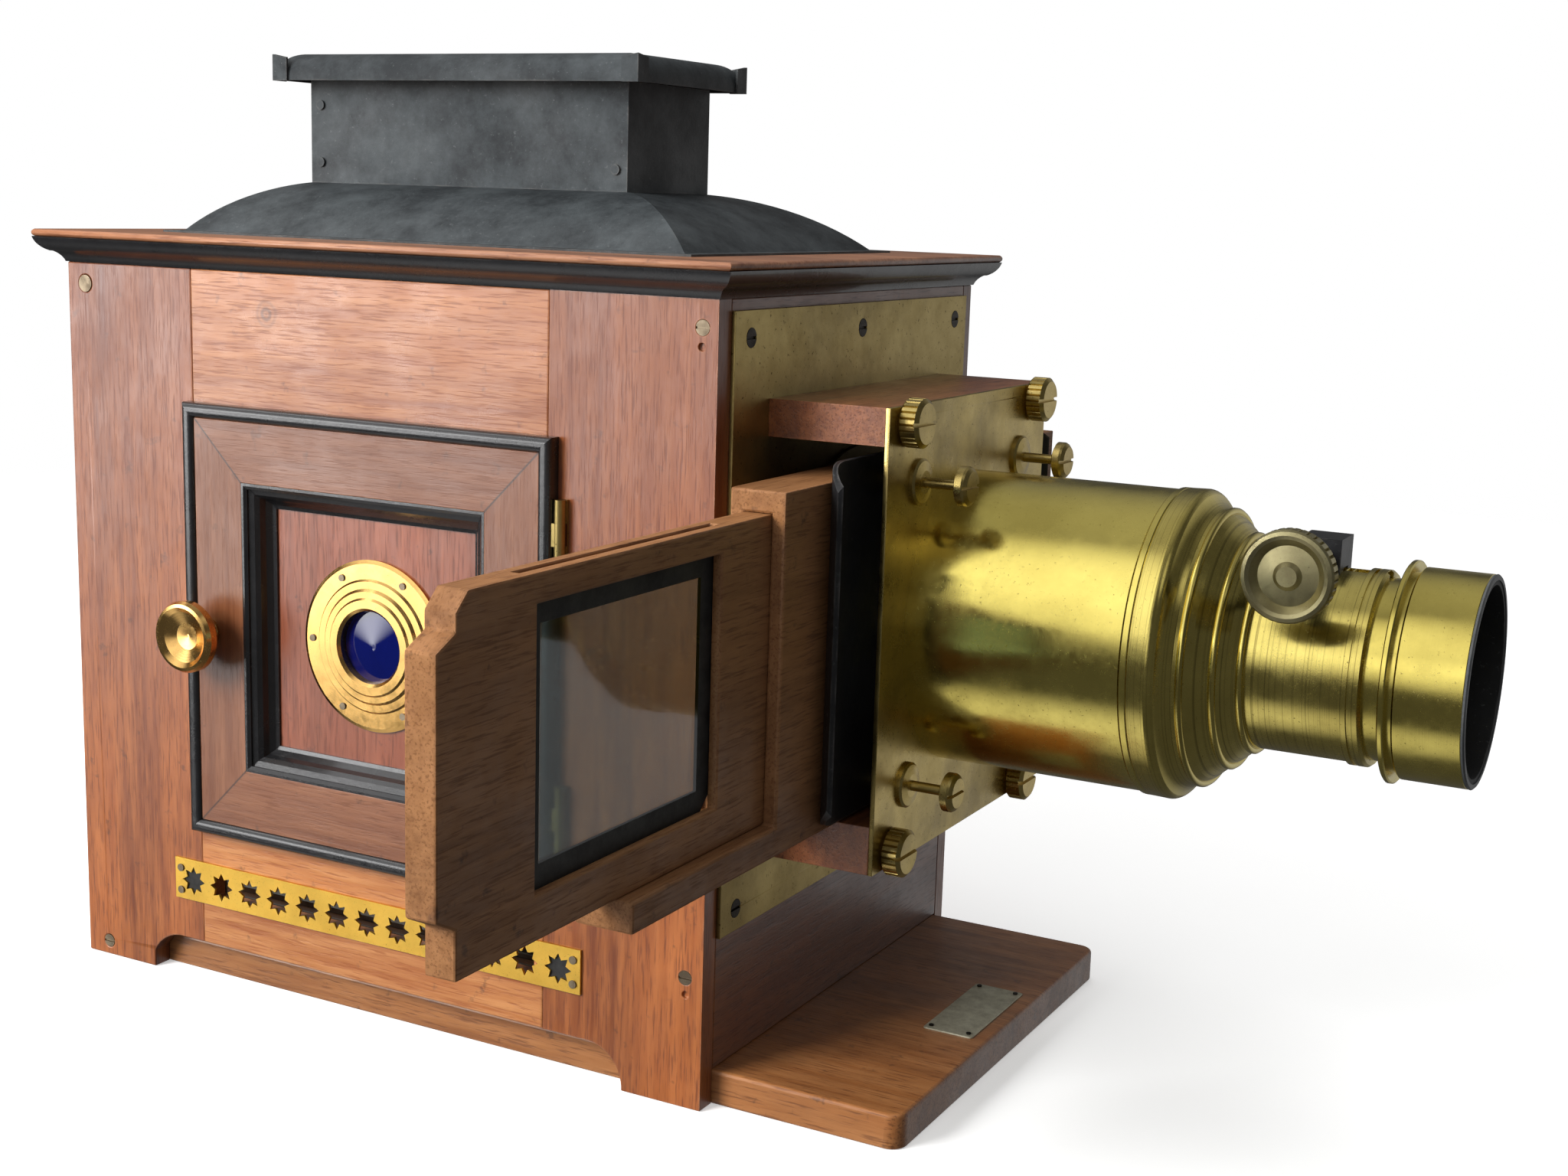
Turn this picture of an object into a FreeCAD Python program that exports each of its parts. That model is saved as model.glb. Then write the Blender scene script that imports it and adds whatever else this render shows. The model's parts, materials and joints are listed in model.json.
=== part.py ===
import FreeCAD, Part
import math
import os
import Sketcher

doc = FreeCAD.newDocument("MagicLantern")
V = FreeCAD.Vector

# Driving sizes in millimetres
SIZES = {
    "house_half_length": 144.0,
    "house_half_width": 102.0,
    "wall_thickness": 8.0,
    "wall_top": 277.0,
    "foot_arch_height": 15.5,
    "rear_stile_edge": 81.5,
    "front_stile_edge": 78.5,
    "door_hole_bottom": 71.0,
    "door_hole_top": 219.0,
    "base_thickness": 12.4,
    "base_front": 216.0,
    "base_rear": 140.0,
    "base_corner": 6.0,
    "runner_inner": 55.1,
    "cornice_height": 9.2,
    "cornice_reach": 9.0,
    "roof_thickness": 2.8,
    "roof_reach": 9.6,
    "flue_half_length": 100.0,
    "flue_half_width": 60.0,
    "tin": 1.2,
    "dome_half_length": 113.5,
    "dome_half_width": 72.5,
    "dome_height": 20.5,
    "chimney_rear": 86.0,
    "chimney_front": 62.0,
    "chimney_half_width": 29.0,
    "chimney_height": 39.5,
    "cap_reach": 9.5,
    "cap_height": 10.4,
    "cap_drop": 0.6,
    "lining_thickness": 0.8,
    "vent_half_length": 95.0,
    "vent_bottom": 32.0,
    "vent_height": 16.5,
    "vent_pitch": 14.27,
    "star_radius": 5.7,
    "star_notch": 3.5,
    "lens_height": 163.6,
    "plate_thickness": 1.5,
    "plate_half_width": 93.7,
    "plate_bottom": 60.0,
    "plate_top": 273.0,
    "plate_screw_radius": 3.3,
    "cell_radius": 52.0,
    "condenser_radius": 50.4,
    "condenser_sag": 11.5,
    "condenser_edge": 3.0,
    "stage_front": 188.8,
    "stage_half_width": 69.6,
    "stage_plate_thickness": 1.7,
    "top_block_rise": 66.8,
    "top_block_height": 12.8,
    "bottom_block_drop": 62.6,
    "bottom_block_height": 17.0,
    "thumb_side": 56.0,
    "thumb_rise": 74.0,
    "thumb_radius": 8.3,
    "thumb_length": 7.3,
    "plunger_side": 45.0,
    "plunger_rise": 53.0,
    "plunger_shaft": 1.8,
    "plunger_head": 6.8,
    "bush_radius": 8.0,
    "running_gap": 0.05,
    "jacket_radius": 52.4,
    "jacket_wall": 1.2,
    "jacket_end": 270.0,
    "barrel_radius": 31.8,
    "barrel_bore": 30.2,
    "barrel_end": 340.0,
    "focus_rear": 290.0,
    "focus_wall": 1.2,
    "flange_start": 346.0,
    "flange_radius": 36.8,
    "hood_radius": 34.9,
    "hood_start": 350.0,
    "hood_end": 372.0,
    "tooth_module": 0.7,
    "pinion_teeth": 12.0,
    "pinion_at": 318.0,
    "rack_line": 31.2,
    "focus_knob_radius": 14.8,
    "focus_knob_side": 50.0,
    "carrier_rear": 157.4,
    "carrier_thickness": 20.0,
    "carrier_half_length": 115.6,
    "carrier_rise": 55.8,
    "carrier_rest": 201.0,
    "channel_rear": 162.4,
    "channel_thickness": 10.0,
    "frame_drop": 52.6,
    "frame_rise": 48.4,
    "frame_outer_end": 277.0,
    "frame_inner_end": 95.0,
    "window_drop": 39.6,
    "window_rise": 40.0,
    "window_outer": 242.0,
    "window_inner": 145.6,
    "slide_length": 101.6,
    "slide_height": 82.5,
    "slide_thickness": 2.6,
    "pressure_rear": 177.6,
    "pressure_thickness": 1.8,
    "door_half": 83.0,
    "door_bead": 5.5,
    "door_centre": 145.0,
    "door_face": 4.0,
    "door_opening_half": 55.0,
    "door_gap": 0.1,
    "moulding_width": 9.6,
    "panel_recess": 5.0,
    "hinge_radius": 2.0,
    "hinge_height": 24.0,
    "lamp_half_width": 55.0,
}

sheet = doc.addObject("Spreadsheet::Sheet", "Sizes")
for row, (alias, number) in enumerate(SIZES.items(), start=1):
    sheet.set("A" + str(row), alias.replace("_", " "))
    sheet.set("B" + str(row), str(number))
    sheet.setAlias("B" + str(row), alias)
doc.recompute()


class Size:
    """A length together with the sheet expression that gives it."""

    def __init__(self, value, text, fixed=False):
        self.value = float(value)
        self.text = text
        self.fixed = fixed

    def _join(self, other, sign, value):
        text = "(" + self.text + " " + sign + " " + other.text + ")"
        return Size(value, text, self.fixed and other.fixed)

    def __add__(self, other):
        other = size(other)
        return self._join(other, "+", self.value + other.value)

    def __radd__(self, other):
        return size(other) + self

    def __sub__(self, other):
        other = size(other)
        return self._join(other, "-", self.value - other.value)

    def __rsub__(self, other):
        return size(other) - self

    def __mul__(self, other):
        other = size(other)
        return self._join(other, "*", self.value * other.value)

    def __rmul__(self, other):
        return size(other) * self

    def __truediv__(self, other):
        other = size(other)
        return self._join(other, "/", self.value / other.value)

    def __neg__(self):
        return Size(-self.value, "(0 - " + self.text + ")", self.fixed)


def size(value):
    if isinstance(value, Size):
        return value
    number = float(value)
    if number < 0:
        return Size(number, "(0 - " + repr(-number) + ")", True)
    return Size(number, repr(number), True)


def root(value):
    value = size(value)
    return Size(math.sqrt(value.value), "sqrt(" + value.text + ")", value.fixed)


class Names:
    """Gives each driving size as an attribute."""

    def __getattr__(self, name):
        return Size(SIZES[name], "Sizes." + name)


s = Names()


def bind(item, path, value):
    value = size(value)
    if not value.fixed:
        item.setExpression(path, value.text)


def place(item, x, y, z):
    item.Placement = FreeCAD.Placement(V(size(x).value, size(y).value, size(z).value), item.Placement.Rotation)
    bind(item, ".Placement.Base.x", x)
    bind(item, ".Placement.Base.y", y)
    bind(item, ".Placement.Base.z", z)


def arc_centre(start, end, radius, side):
    run = end[0] - start[0]
    rise = end[1] - start[1]
    chord = math.hypot(run, rise)
    depth = math.sqrt(max(radius * radius - chord * chord / 4.0, 0.0))
    x = (start[0] + end[0]) / 2.0 - side * rise / chord * depth
    y = (start[1] + end[1]) / 2.0 + side * run / chord * depth
    return x, y


def draw(sketch, loops):
    """Draws closed loops of corners, arcs and circles with every size bound."""
    shapes = []
    rules = []
    bound = []

    def rule(value, *parts):
        value = size(value)
        rules.append(Sketcher.Constraint(*parts, value.value))
        if not value.fixed:
            bound.append((len(rules) - 1, value.text))

    for loop in loops:
        if loop[0] == "circle":
            x, y, radius = loop[1:]
            index = len(shapes)
            centre = V(size(x).value, size(y).value, 0)
            shapes.append(Part.Circle(centre, V(0, 0, 1), size(radius).value))
            rule(x, "DistanceX", index, 3)
            rule(y, "DistanceY", index, 3)
            rule(radius, "Radius", index)
            continue
        first = len(shapes)
        ends = []
        for at, corner in enumerate(loop):
            after = loop[(at + 1) % len(loop)]
            start = (size(corner[0]).value, size(corner[1]).value)
            end = (size(after[0]).value, size(after[1]).value)
            index = len(shapes)
            if len(corner) == 2:
                shapes.append(Part.LineSegment(V(start[0], start[1], 0), V(end[0], end[1], 0)))
                ends.append((1, 2))
            else:
                radius, side = corner[2]
                number = size(radius).value
                x, y = arc_centre(start, end, number, side)
                begin = math.atan2(start[1] - y, start[0] - x)
                finish = math.atan2(end[1] - y, end[0] - x)
                circle = Part.Circle(V(x, y, 0), V(0, 0, 1), number)
                if side < 0:
                    begin, finish = finish, begin
                if finish < begin:
                    finish += 2 * math.pi
                shapes.append(Part.ArcOfCircle(circle, begin, finish))
                ends.append((1, 2) if side > 0 else (2, 1))
                rule(radius, "Radius", index)
            rule(corner[0], "DistanceX", index, ends[-1][0])
            rule(corner[1], "DistanceY", index, ends[-1][0])
        count = len(loop)
        for at in range(count):
            after = (at + 1) % count
            rules.append(Sketcher.Constraint("Coincident", first + at, ends[at][1], first + after, ends[after][0]))
    sketch.addGeometry(shapes, False)
    sketch.addConstraint(rules)
    for index, text in bound:
        sketch.setExpression("Constraints[" + str(index) + "]", text)


def box(x0, y0, x1, y1):
    return [(x0, y0), (x1, y0), (x1, y1), (x0, y1)]


def soft_box(x0, y0, x1, y1, radius):
    turn = (radius, 1)
    return [
        (x0 + radius, y0), (x1 - radius, y0, turn), (x1, y0 + radius), (x1, y1 - radius, turn),
        (x1 - radius, y1), (x0 + radius, y1, turn), (x0, y1 - radius), (x0, y0 + radius, turn),
    ]


PLANES = {"XY": "XY_Plane", "XZ": "XZ_Plane", "YZ": "YZ_Plane"}
SPINS = {
    "XY": FreeCAD.Rotation(),
    "XZ": FreeCAD.Rotation(V(1, 0, 0), 90),
    "YZ": FreeCAD.Rotation(V(1, 1, 1), 120),
}
AXES = {"XY": V(0, 0, 1), "XZ": V(0, 1, 0), "YZ": V(1, 0, 0)}
AXIS_LETTER = {"XY": "z", "XZ": "y", "YZ": "x"}
nodes = []


class Piece:
    """One body built from sketches, each pad or cut running in the positive direction."""

    def __init__(self, name, x=0, y=0, z=0, node=True):
        self.body = doc.addObject("PartDesign::Body", name)
        self.body.Label = name
        place(self.body, x, y, z)
        self.name = name
        self.count = 0
        if node:
            nodes.append(self.body)

    def sketch(self, plane, at, loops):
        self.count += 1
        made = self.body.newObject("Sketcher::SketchObject", self.name + "_sketch" + str(self.count))
        role = PLANES[plane]
        flat = [item for item in self.body.Origin.OriginFeatures if item.Role == role][0]
        made.AttachmentSupport = [(flat, "")]
        made.MapMode = "FlatFace"
        at = size(at)
        if plane == "XZ":
            at = -at
        made.AttachmentOffset = FreeCAD.Placement(V(0, 0, at.value), FreeCAD.Rotation())
        bind(made, ".AttachmentOffset.Base.z", at)
        draw(made, loops)
        return made

    def pad(self, plane, at, loops, length):
        profile = self.sketch(plane, at, loops)
        made = self.body.newObject("PartDesign::Pad", self.name + "_pad" + str(self.count))
        made.Profile = profile
        made.Length = size(length).value
        bind(made, "Length", length)
        made.Reversed = plane == "XZ"
        self.body.Tip = made
        return made

    def cut(self, plane, at, loops, length):
        profile = self.sketch(plane, at, loops)
        made = self.body.newObject("PartDesign::Pocket", self.name + "_cut" + str(self.count))
        made.Profile = profile
        made.Length = size(length).value
        bind(made, "Length", length)
        made.Reversed = plane != "XZ"
        self.body.Tip = made
        return made

    def turn(self, plane, loops, kind="Revolution"):
        profile = self.sketch(plane, 0, loops)
        made = self.body.newObject("PartDesign::" + kind, self.name + "_turn" + str(self.count))
        made.Profile = profile
        made.ReferenceAxis = (profile, ["H_Axis"])
        made.Angle = 360
        self.body.Tip = made
        return made

    def row(self, feature, length, number):
        made = self.body.newObject("PartDesign::LinearPattern", self.name + "_row" + str(self.count))
        made.Originals = [feature]
        made.Direction = (feature.Profile[0], ["H_Axis"])
        made.Length = size(length).value
        bind(made, "Length", length)
        made.Occurrences = number
        self.body.Tip = made
        return made

    def around(self, feature, number):
        made = self.body.newObject("PartDesign::PolarPattern", self.name + "_ring" + str(self.count))
        made.Originals = [feature]
        made.Axis = (feature.Profile[0], ["N_Axis"])
        made.Angle = 360
        made.Occurrences = number
        self.body.Tip = made
        return made

    def soften(self, kind, amount, test):
        doc.recompute()
        tip = self.body.Tip
        chosen = []
        for number, edge in enumerate(tip.Shape.Edges, start=1):
            if test(edge):
                chosen.append("Edge" + str(number))
        made = self.body.newObject("PartDesign::" + kind, self.name + "_" + kind.lower())
        made.Base = (tip, chosen)
        if kind == "Fillet":
            made.Radius = size(amount).value
            bind(made, "Radius", amount)
        else:
            made.Size = size(amount).value
            bind(made, "Size", amount)
        self.body.Tip = made
        return made


def prism(name, plane, at, loops, length, x=0, y=0, z=0):
    profile = doc.addObject("Sketcher::SketchObject", name + "_sketch")
    profile.Placement = FreeCAD.Placement(V(0, 0, 0), SPINS[plane])
    where = {"x": size(x), "y": size(y), "z": size(z)}
    letter = AXIS_LETTER[plane]
    where[letter] = where[letter] + at
    place(profile, where["x"], where["y"], where["z"])
    draw(profile, loops)
    made = doc.addObject("Part::Extrusion", name)
    made.Base = profile
    made.DirMode = "Custom"
    made.Dir = AXES[plane]
    made.FaceMakerClass = "Part::FaceMakerBullseye"
    made.LengthFwd = size(length).value
    bind(made, "LengthFwd", length)
    made.Solid = True
    return made


def both(name, first, second, kind="Common"):
    made = doc.addObject("Part::" + kind, name)
    made.Base = first
    made.Tool = second
    return made


def joined(name, items, kind="MultiFuse"):
    made = doc.addObject("Part::" + kind, name)
    if kind == "MultiFuse":
        made.Shapes = items
    else:
        made.Links = items
    return made


def mirror(item, name, normal, height=0):
    made = doc.addObject("Part::Mirroring", name)
    made.Source = item
    made.Normal = normal
    made.Base = V(0, 0, size(height).value)
    bind(made, "Base.z", height)
    return made


def four(name, item):
    """A set of four placed symmetrically about the lens axis."""
    side = mirror(item, name + "_far", V(0, 1, 0))
    low = mirror(item, name + "_low", V(0, 0, 1), s.lens_height)
    both_ways = mirror(side, name + "_far_low", V(0, 0, 1), s.lens_height)
    return joined(name, [item, side, low, both_ways], "Compound")


def node(item, name):
    item.Label = name
    nodes.append(item)
    return item


L = s.house_half_length
W = s.house_half_width
T = s.wall_thickness
inside = W - T
lens = s.lens_height
base_top = s.base_thickness
top_block_low = lens + s.top_block_rise
top_block_high = top_block_low + s.top_block_height
bottom_block_high = lens - s.bottom_block_drop
bottom_block_low = bottom_block_high - s.bottom_block_height
carrier_high = lens + s.carrier_rise
frame_low = lens - s.frame_drop
frame_high = lens + s.frame_rise
window_low = lens - s.window_drop
window_high = lens + s.window_rise

# Base board with its two lamp runners
board = Piece("base_board")
board.pad("XY", 0, [soft_box(-s.base_rear, -inside, s.base_front, inside, s.base_corner)], base_top)
board.soften("Chamfer", 0.8, lambda e: all(abs(v.Z - SIZES["base_thickness"]) < 1e-6 for v in e.Vertexes))
board.pad("XY", base_top, [box(-L + T, s.runner_inner, 110, s.runner_inner + 6)], 6)
board.pad("XY", base_top, [box(-L + T, -s.runner_inner - 6, 110, -s.runner_inner)], 6)

# Bare plate on the base board and its pins
label = Piece("nameplate", s.base_front - 15.5, 4, base_top)
label.pad("XY", 0, [soft_box(size(-9.7), size(-25.2), size(9.7), size(25.2), size(1.2))], 0.7)
label.soften("Chamfer", 0.25, lambda e: all(v.Z > 0.6 for v in e.Vertexes))
pin_spots = [("circle", x, y, 0.9) for x in (-7.4, 7.4) for y in (-22.6, 22.6)]
pins = prism("pins", "XY", base_top + 0.7, pin_spots, 0.5, s.base_front - 15.5, 4)
node(pins, "nameplate_pins")

# Near wall of stiles and rails on bracket feet
arch = s.foot_arch_height
rear_stile = Piece("near_rear_stile", 0, -W, 0)
rear_stile.pad("XZ", 0, [[
    (-L, 0), (-L + 36, 0), (-L + 36, 7, (17, -1)), (-L + 52, arch),
    (-s.rear_stile_edge, arch), (-s.rear_stile_edge, s.wall_top), (-L, s.wall_top),
]], T)
rear_stile.cut("XZ", 0, [("circle", -L + 9, s.wall_top - 8, 3.2), ("circle", -L + 11, 5.7, 2.6)], 1.2)
front_stile = Piece("near_front_stile", 0, -W, 0)
front_stile.pad("XZ", 0, [[
    (s.front_stile_edge, arch), (L - 45.5, arch, (15, -1)), (L - 32, 0), (L, 0),
    (L, s.wall_top), (s.front_stile_edge, s.wall_top),
]], T)
front_stile.cut("XZ", 0, [
    ("circle", L - 6, s.wall_top - 9.4, 2.6), ("circle", L - 6.2, s.wall_top - 15.6, 1.3),
    ("circle", L - 7, 47, 2.6), ("circle", L - 6.8, 41, 1.3),
], 1.2)
top_rail = Piece("near_top_rail", 0, -W, 0)
top_rail.pad("XZ", 0, [box(-s.rear_stile_edge, s.door_hole_top, s.front_stile_edge, s.wall_top)], T)
bottom_rail = Piece("near_bottom_rail", 0, -W, 0)
bottom_rail.pad("XZ", 0, [box(-s.rear_stile_edge, arch, s.front_stile_edge, s.door_hole_bottom)], T)
rail_slot = box(-s.rear_stile_edge + 4, s.vent_bottom + 2.2, s.front_stile_edge - 4, s.vent_bottom + s.vent_height - 2.2)
bottom_rail.cut("XZ", 0, [rail_slot], T)

# Far wall with a sunk field
far = Piece("far_wall", 0, inside, 0)
far.pad("XZ", 0, [[
    (-L, 0), (-L + 36, 0), (-L + 36, 7, (17, -1)), (-L + 52, arch), (L - 45.5, arch, (15, -1)),
    (L - 32, 0), (L, 0), (L, s.wall_top), (-L, s.wall_top),
]], T)
far.cut("XZ", T - 2.5, [box(-s.rear_stile_edge, s.door_hole_bottom, s.front_stile_edge, s.door_hole_top)], 2.5)
far.cut("XZ", 0, [rail_slot], T)

# Front board and open back frame between the walls
front = Piece("front_board", L - T, 0, 0)
front.pad("YZ", 0, [box(-inside, base_top, inside, s.wall_top), ("circle", 0, lens, s.cell_radius + 1)], T)
rear = Piece("rear_frame", -L, 0, 0)
rear.pad("YZ", 0, [[
    (-inside, base_top), (-inside + 20, base_top), (-inside + 20, s.wall_top - 37),
    (inside - 20, s.wall_top - 37), (inside - 20, base_top), (inside, base_top),
    (inside, s.wall_top), (-inside, s.wall_top),
]], T)

# Tin lining against the walls and the top
lining = s.lining_thickness
liner = Piece("inner_lining", -L + T, 0, 0)
liner.pad("YZ", 0, [[
    (-inside, base_top), (-inside + lining, base_top), (-inside + lining, s.wall_top - lining),
    (inside - lining, s.wall_top - lining), (inside - lining, base_top), (inside, base_top),
    (inside, s.wall_top), (-inside, s.wall_top),
]], 2 * L - 2 * T)
shift = L - T
liner.cut("XZ", -inside - 1, [
    box(shift - s.rear_stile_edge, s.door_hole_bottom, shift + s.front_stile_edge, s.door_hole_top),
    box(shift - s.rear_stile_edge + 4, s.vent_bottom + 2.2,
        shift + s.front_stile_edge - 4, s.vent_bottom + s.vent_height - 2.2),
], 3)
liner.cut("XZ", inside - 2, [box(
    shift - s.rear_stile_edge + 4, s.vent_bottom + 2.2,
    shift + s.front_stile_edge - 4, s.vent_bottom + s.vent_height - 2.2)], 3)
liner.cut("XY", s.wall_top - 2, [box(
    shift - s.flue_half_length, -s.flue_half_width, shift + s.flue_half_length, s.flue_half_width)], 4)

# Ogee cornice mitred on all four sides
rise = s.cornice_height
reach = s.cornice_reach
flue = box(-s.flue_half_length, -s.flue_half_width, s.flue_half_length, s.flue_half_width)


cornice = Piece("cornice", 0, 0, s.wall_top)
loop = [
    (W + 0.5, 0, (6.5, -1)), (W + reach * 0.42, rise * 0.42), (W + reach * 0.5, rise * 0.42, (7.5, 1)),
    (W + reach, rise), (-W - reach, rise, (7.5, 1)), (-W - reach * 0.5, rise * 0.42),
    (-W - reach * 0.42, rise * 0.42, (6.5, -1)), (-W - 0.5, 0),
]
cornice.pad("YZ", -L - 20, [loop], 2 * L + 40)
for sign in (1, -1):
    end = [
        (sign * (L + 0.5), 0, (6.5, -sign)), (sign * (L + reach * 0.42), rise * 0.42),
        (sign * (L + reach * 0.5), rise * 0.42, (7.5, sign)), (sign * (L + reach), rise),
        (sign * (L + 30), rise), (sign * (L + 30), -2), (sign * (L + 0.5), -2),
    ]
    cornice.cut("XZ", -W - 20, [end], 2 * W + 40)
cornice.cut("XY", -1, [flue], rise + 2)

# Roof board with a rounded nose
roof = Piece("roof_board", 0, 0, s.wall_top + rise)
thick = s.roof_thickness
nose = thick / 2
bow = nose * 1.06
out = s.roof_reach
roof.pad("YZ", -L - out, [[
    (-W - out + nose, 0), (W + out - nose, 0, (bow, 1)), (W + out - nose, thick),
    (-W - out + nose, thick, (bow, 1)),
]], 2 * L + 2 * out)
for sign in (1, -1):
    roof.cut("XZ", -W - out - 1, [[
        (sign * (L + out - nose), 0, (bow, sign)), (sign * (L + out - nose), thick),
        (sign * (L + out + 5), thick), (sign * (L + out + 5), 0),
    ]], 2 * W + 2 * out + 2)
roof.cut("XY", -1, [flue], thick + 2)
roof_top = s.wall_top + rise + thick

# Hipped tin top with curved slopes
tin = s.tin
dome_top = roof_top + s.dome_height


def hip(name, length, width, rear_top, front_top, side_top, low, high, radii):
    long_way = prism(name + "_long", "XZ", -width, [[
        (-length, low), (length, low, (radii[0], 1)), (front_top, high), (-rear_top, high, (radii[1], 1)),
    ]], 2 * width)
    across = prism(name + "_across", "YZ", -length, [[
        (-width, low), (width, low, (radii[2], 1)), (side_top, high), (-side_top, high, (radii[2], 1)),
    ]], 2 * length)
    return both(name, long_way, across)


half_long = s.dome_half_length
half_wide = s.dome_half_width
dome_skin = hip(
    "dome_skin", half_long, half_wide, s.chimney_rear, s.chimney_front, s.chimney_half_width,
    roof_top, dome_top, (90, 50, 75))
dome_room = hip(
    "dome_room", half_long - tin, half_wide - tin, s.chimney_rear - tin, s.chimney_front - tin,
    s.chimney_half_width - tin, roof_top, dome_top - tin, (90, 50, 75))
throat = prism("dome_throat", "XY", dome_top - tin - 1, [box(
    -s.chimney_rear + tin, -s.chimney_half_width + tin, s.chimney_front - tin, s.chimney_half_width - tin)], 4)
dome_flange = prism("dome_flange", "XY", roof_top, [box(
    -half_long - 5, -half_wide - 5, half_long + 5, half_wide + 5)], 0.8)
dome_whole = joined("dome_whole", [dome_skin, dome_flange])
dome_hollow = joined("dome_hollow", [dome_room, throat])
node(both("dome_sheet", dome_whole, dome_hollow, "Cut"), "dome")

# Rectangular chimney with rivets
stack = Piece("chimney", 0, 0, dome_top)
stack.pad("XY", 0, [
    box(-s.chimney_rear, -s.chimney_half_width, s.chimney_front, s.chimney_half_width),
    box(-s.chimney_rear + tin, -s.chimney_half_width + tin, s.chimney_front - tin, s.chimney_half_width - tin),
], s.chimney_height)
for x, z in ((-s.chimney_rear + 5, 8), (-s.chimney_rear + 5, 30), (s.chimney_front - 5, 8)):
    stack.pad("XZ", -s.chimney_half_width - 0.8, [("circle", x, z, 1.9)], 0.8)
    stack.pad("XZ", s.chimney_half_width, [("circle", x, z, 1.9)], 0.8)
stack_top = dome_top + s.chimney_height

# Lift-off chimney cap with a rolled rim and four hooked legs
cap_low = stack_top - s.cap_drop
cap_high = cap_low + s.cap_height
over = s.cap_reach
bend = s.cap_height - 1.4


def lid(name, inset, low, high, radius):
    x0 = -s.chimney_rear - over + inset
    x1 = s.chimney_front + over + inset * -1
    y1 = s.chimney_half_width + over - inset
    mid = high - radius
    long_way = prism(name + "_long", "XZ", -y1, [[
        (x0, low), (x1, low), (x1, mid, (radius, 1)), (x1 - radius, high), (x0 + radius, high, (radius, 1)), (x0, mid),
    ]], 2 * y1)
    across = prism(name + "_across", "YZ", x0, [[
        (-y1, low), (y1, low), (y1, mid, (radius, 1)), (y1 - radius, high), (-y1 + radius, high, (radius, 1)),
        (-y1, mid),
    ]], x1 - x0)
    return both(name, long_way, across)


cap_skin = lid("cap_skin", size(0), cap_low, cap_high, bend)
cap_room = lid("cap_room", tin, cap_low - 1, cap_high - tin, bend - tin)
cap_sheet = both("cap_sheet", cap_skin, cap_room, "Cut")
leg_out = s.chimney_half_width - tin - 0.5
legs = []
for number, x in enumerate((-68.0, 34.0)):
    for sign in (-1, 1):
        leg = prism("cap_leg" + str(number) + ("n" if sign < 0 else "f"), "XZ",
                    -leg_out if sign < 0 else leg_out - 1,
                    [box(x, stack_top - 20, x + 10, cap_high - tin)], 1)
        hook = prism("cap_hook" + str(number) + ("n" if sign < 0 else "f"), "XZ",
                     -leg_out - 3 if sign < 0 else leg_out - 1,
                     [box(x, stack_top, x + 10, stack_top + 1)], 4)
        legs.append(leg)
        legs.append(hook)
node(joined("cap_all", [cap_sheet] + legs), "chimney_cap")

# Pierced vent strips of eight-point stars
star_z = s.vent_bottom + 8
first_star = -6 * s.vent_pitch


def star(x, z):
    corners = []
    for number in range(16):
        angle = math.pi * number / 8
        reach_now = s.star_radius if number % 2 == 0 else s.star_notch
        corners.append((x + reach_now * math.cos(angle), z + reach_now * math.sin(angle)))
    return corners


for name, y in (("near_vent_strip", -W - 1), ("far_vent_strip", W)):
    strip = Piece(name, 0, y, 0)
    strip.pad("XZ", 0, [box(
        -s.vent_half_length, s.vent_bottom, s.vent_half_length, s.vent_bottom + s.vent_height)], 1)
    hole = strip.cut("XZ", 0, [star(first_star, star_z)], 1)
    strip.row(hole, 12 * s.vent_pitch, 13)

# Screws and plug of the near wall and of the vent strips
heads = [
    prism("plug", "XZ", -W - 0.2, [("circle", -L + 9, s.wall_top - 8, 3.2)], 1.4),
    prism("foot_screw", "XZ", -W, [("circle", -L + 11, 5.7, 2.6)], 1.2),
    prism("stile_screws", "XZ", -W, [("circle", L - 6, s.wall_top - 9.4, 2.6), ("circle", L - 7, 47, 2.6)], 1.2),
]
strip_spots = [("circle", x, z, 1.5) for x in (-92, 92) for z in (35.5, 44.5)]
heads.append(prism("near_strip_screws", "XZ", -W - 1.5, strip_spots, 0.5))
heads.append(prism("far_strip_screws", "XZ", W + 1, strip_spots, 0.5))
slot_spots = [
    box(L - 8.6, s.wall_top - 9.8, L - 3.4, s.wall_top - 9.0), box(L - 9.6, 46.6, L - 4.4, 47.4),
    box(-L + 8.4, 5.3, -L + 13.6, 6.1),
]
slots = prism("wall_slots", "XZ", -W - 1, slot_spots, 1.6)
node(both("wall_heads", joined("wall_head_set", heads, "Compound"), slots, "Cut"), "wall_screws")

# Brass front plate and its countersunk screws
plate_spots = [(y, z) for y in (-83, 0, 83) for z in (s.plate_bottom + 8, s.plate_top - 9)]
plate = Piece("front_plate", L, 0, 0)
plate.pad("YZ", 0, [box(-s.plate_half_width, s.plate_bottom, s.plate_half_width, s.plate_top),
                    ("circle", 0, lens, s.cell_radius)], s.plate_thickness)
plate.cut("YZ", 0, [("circle", y, z, s.plate_screw_radius) for y, z in plate_spots], s.plate_thickness)
screws = prism("front_screws", "YZ", L, [
    ("circle", y, z, s.plate_screw_radius) for y, z in plate_spots], s.plate_thickness + 0.1)
kerfs = prism("front_kerfs", "YZ", L + s.plate_thickness - 0.7, [
    box(y - 4, z - 0.5, y + 4, z + 0.5) for y, z in plate_spots], 2)
node(both("front_screw_set", screws, kerfs, "Cut"), "plate_screws")

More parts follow.
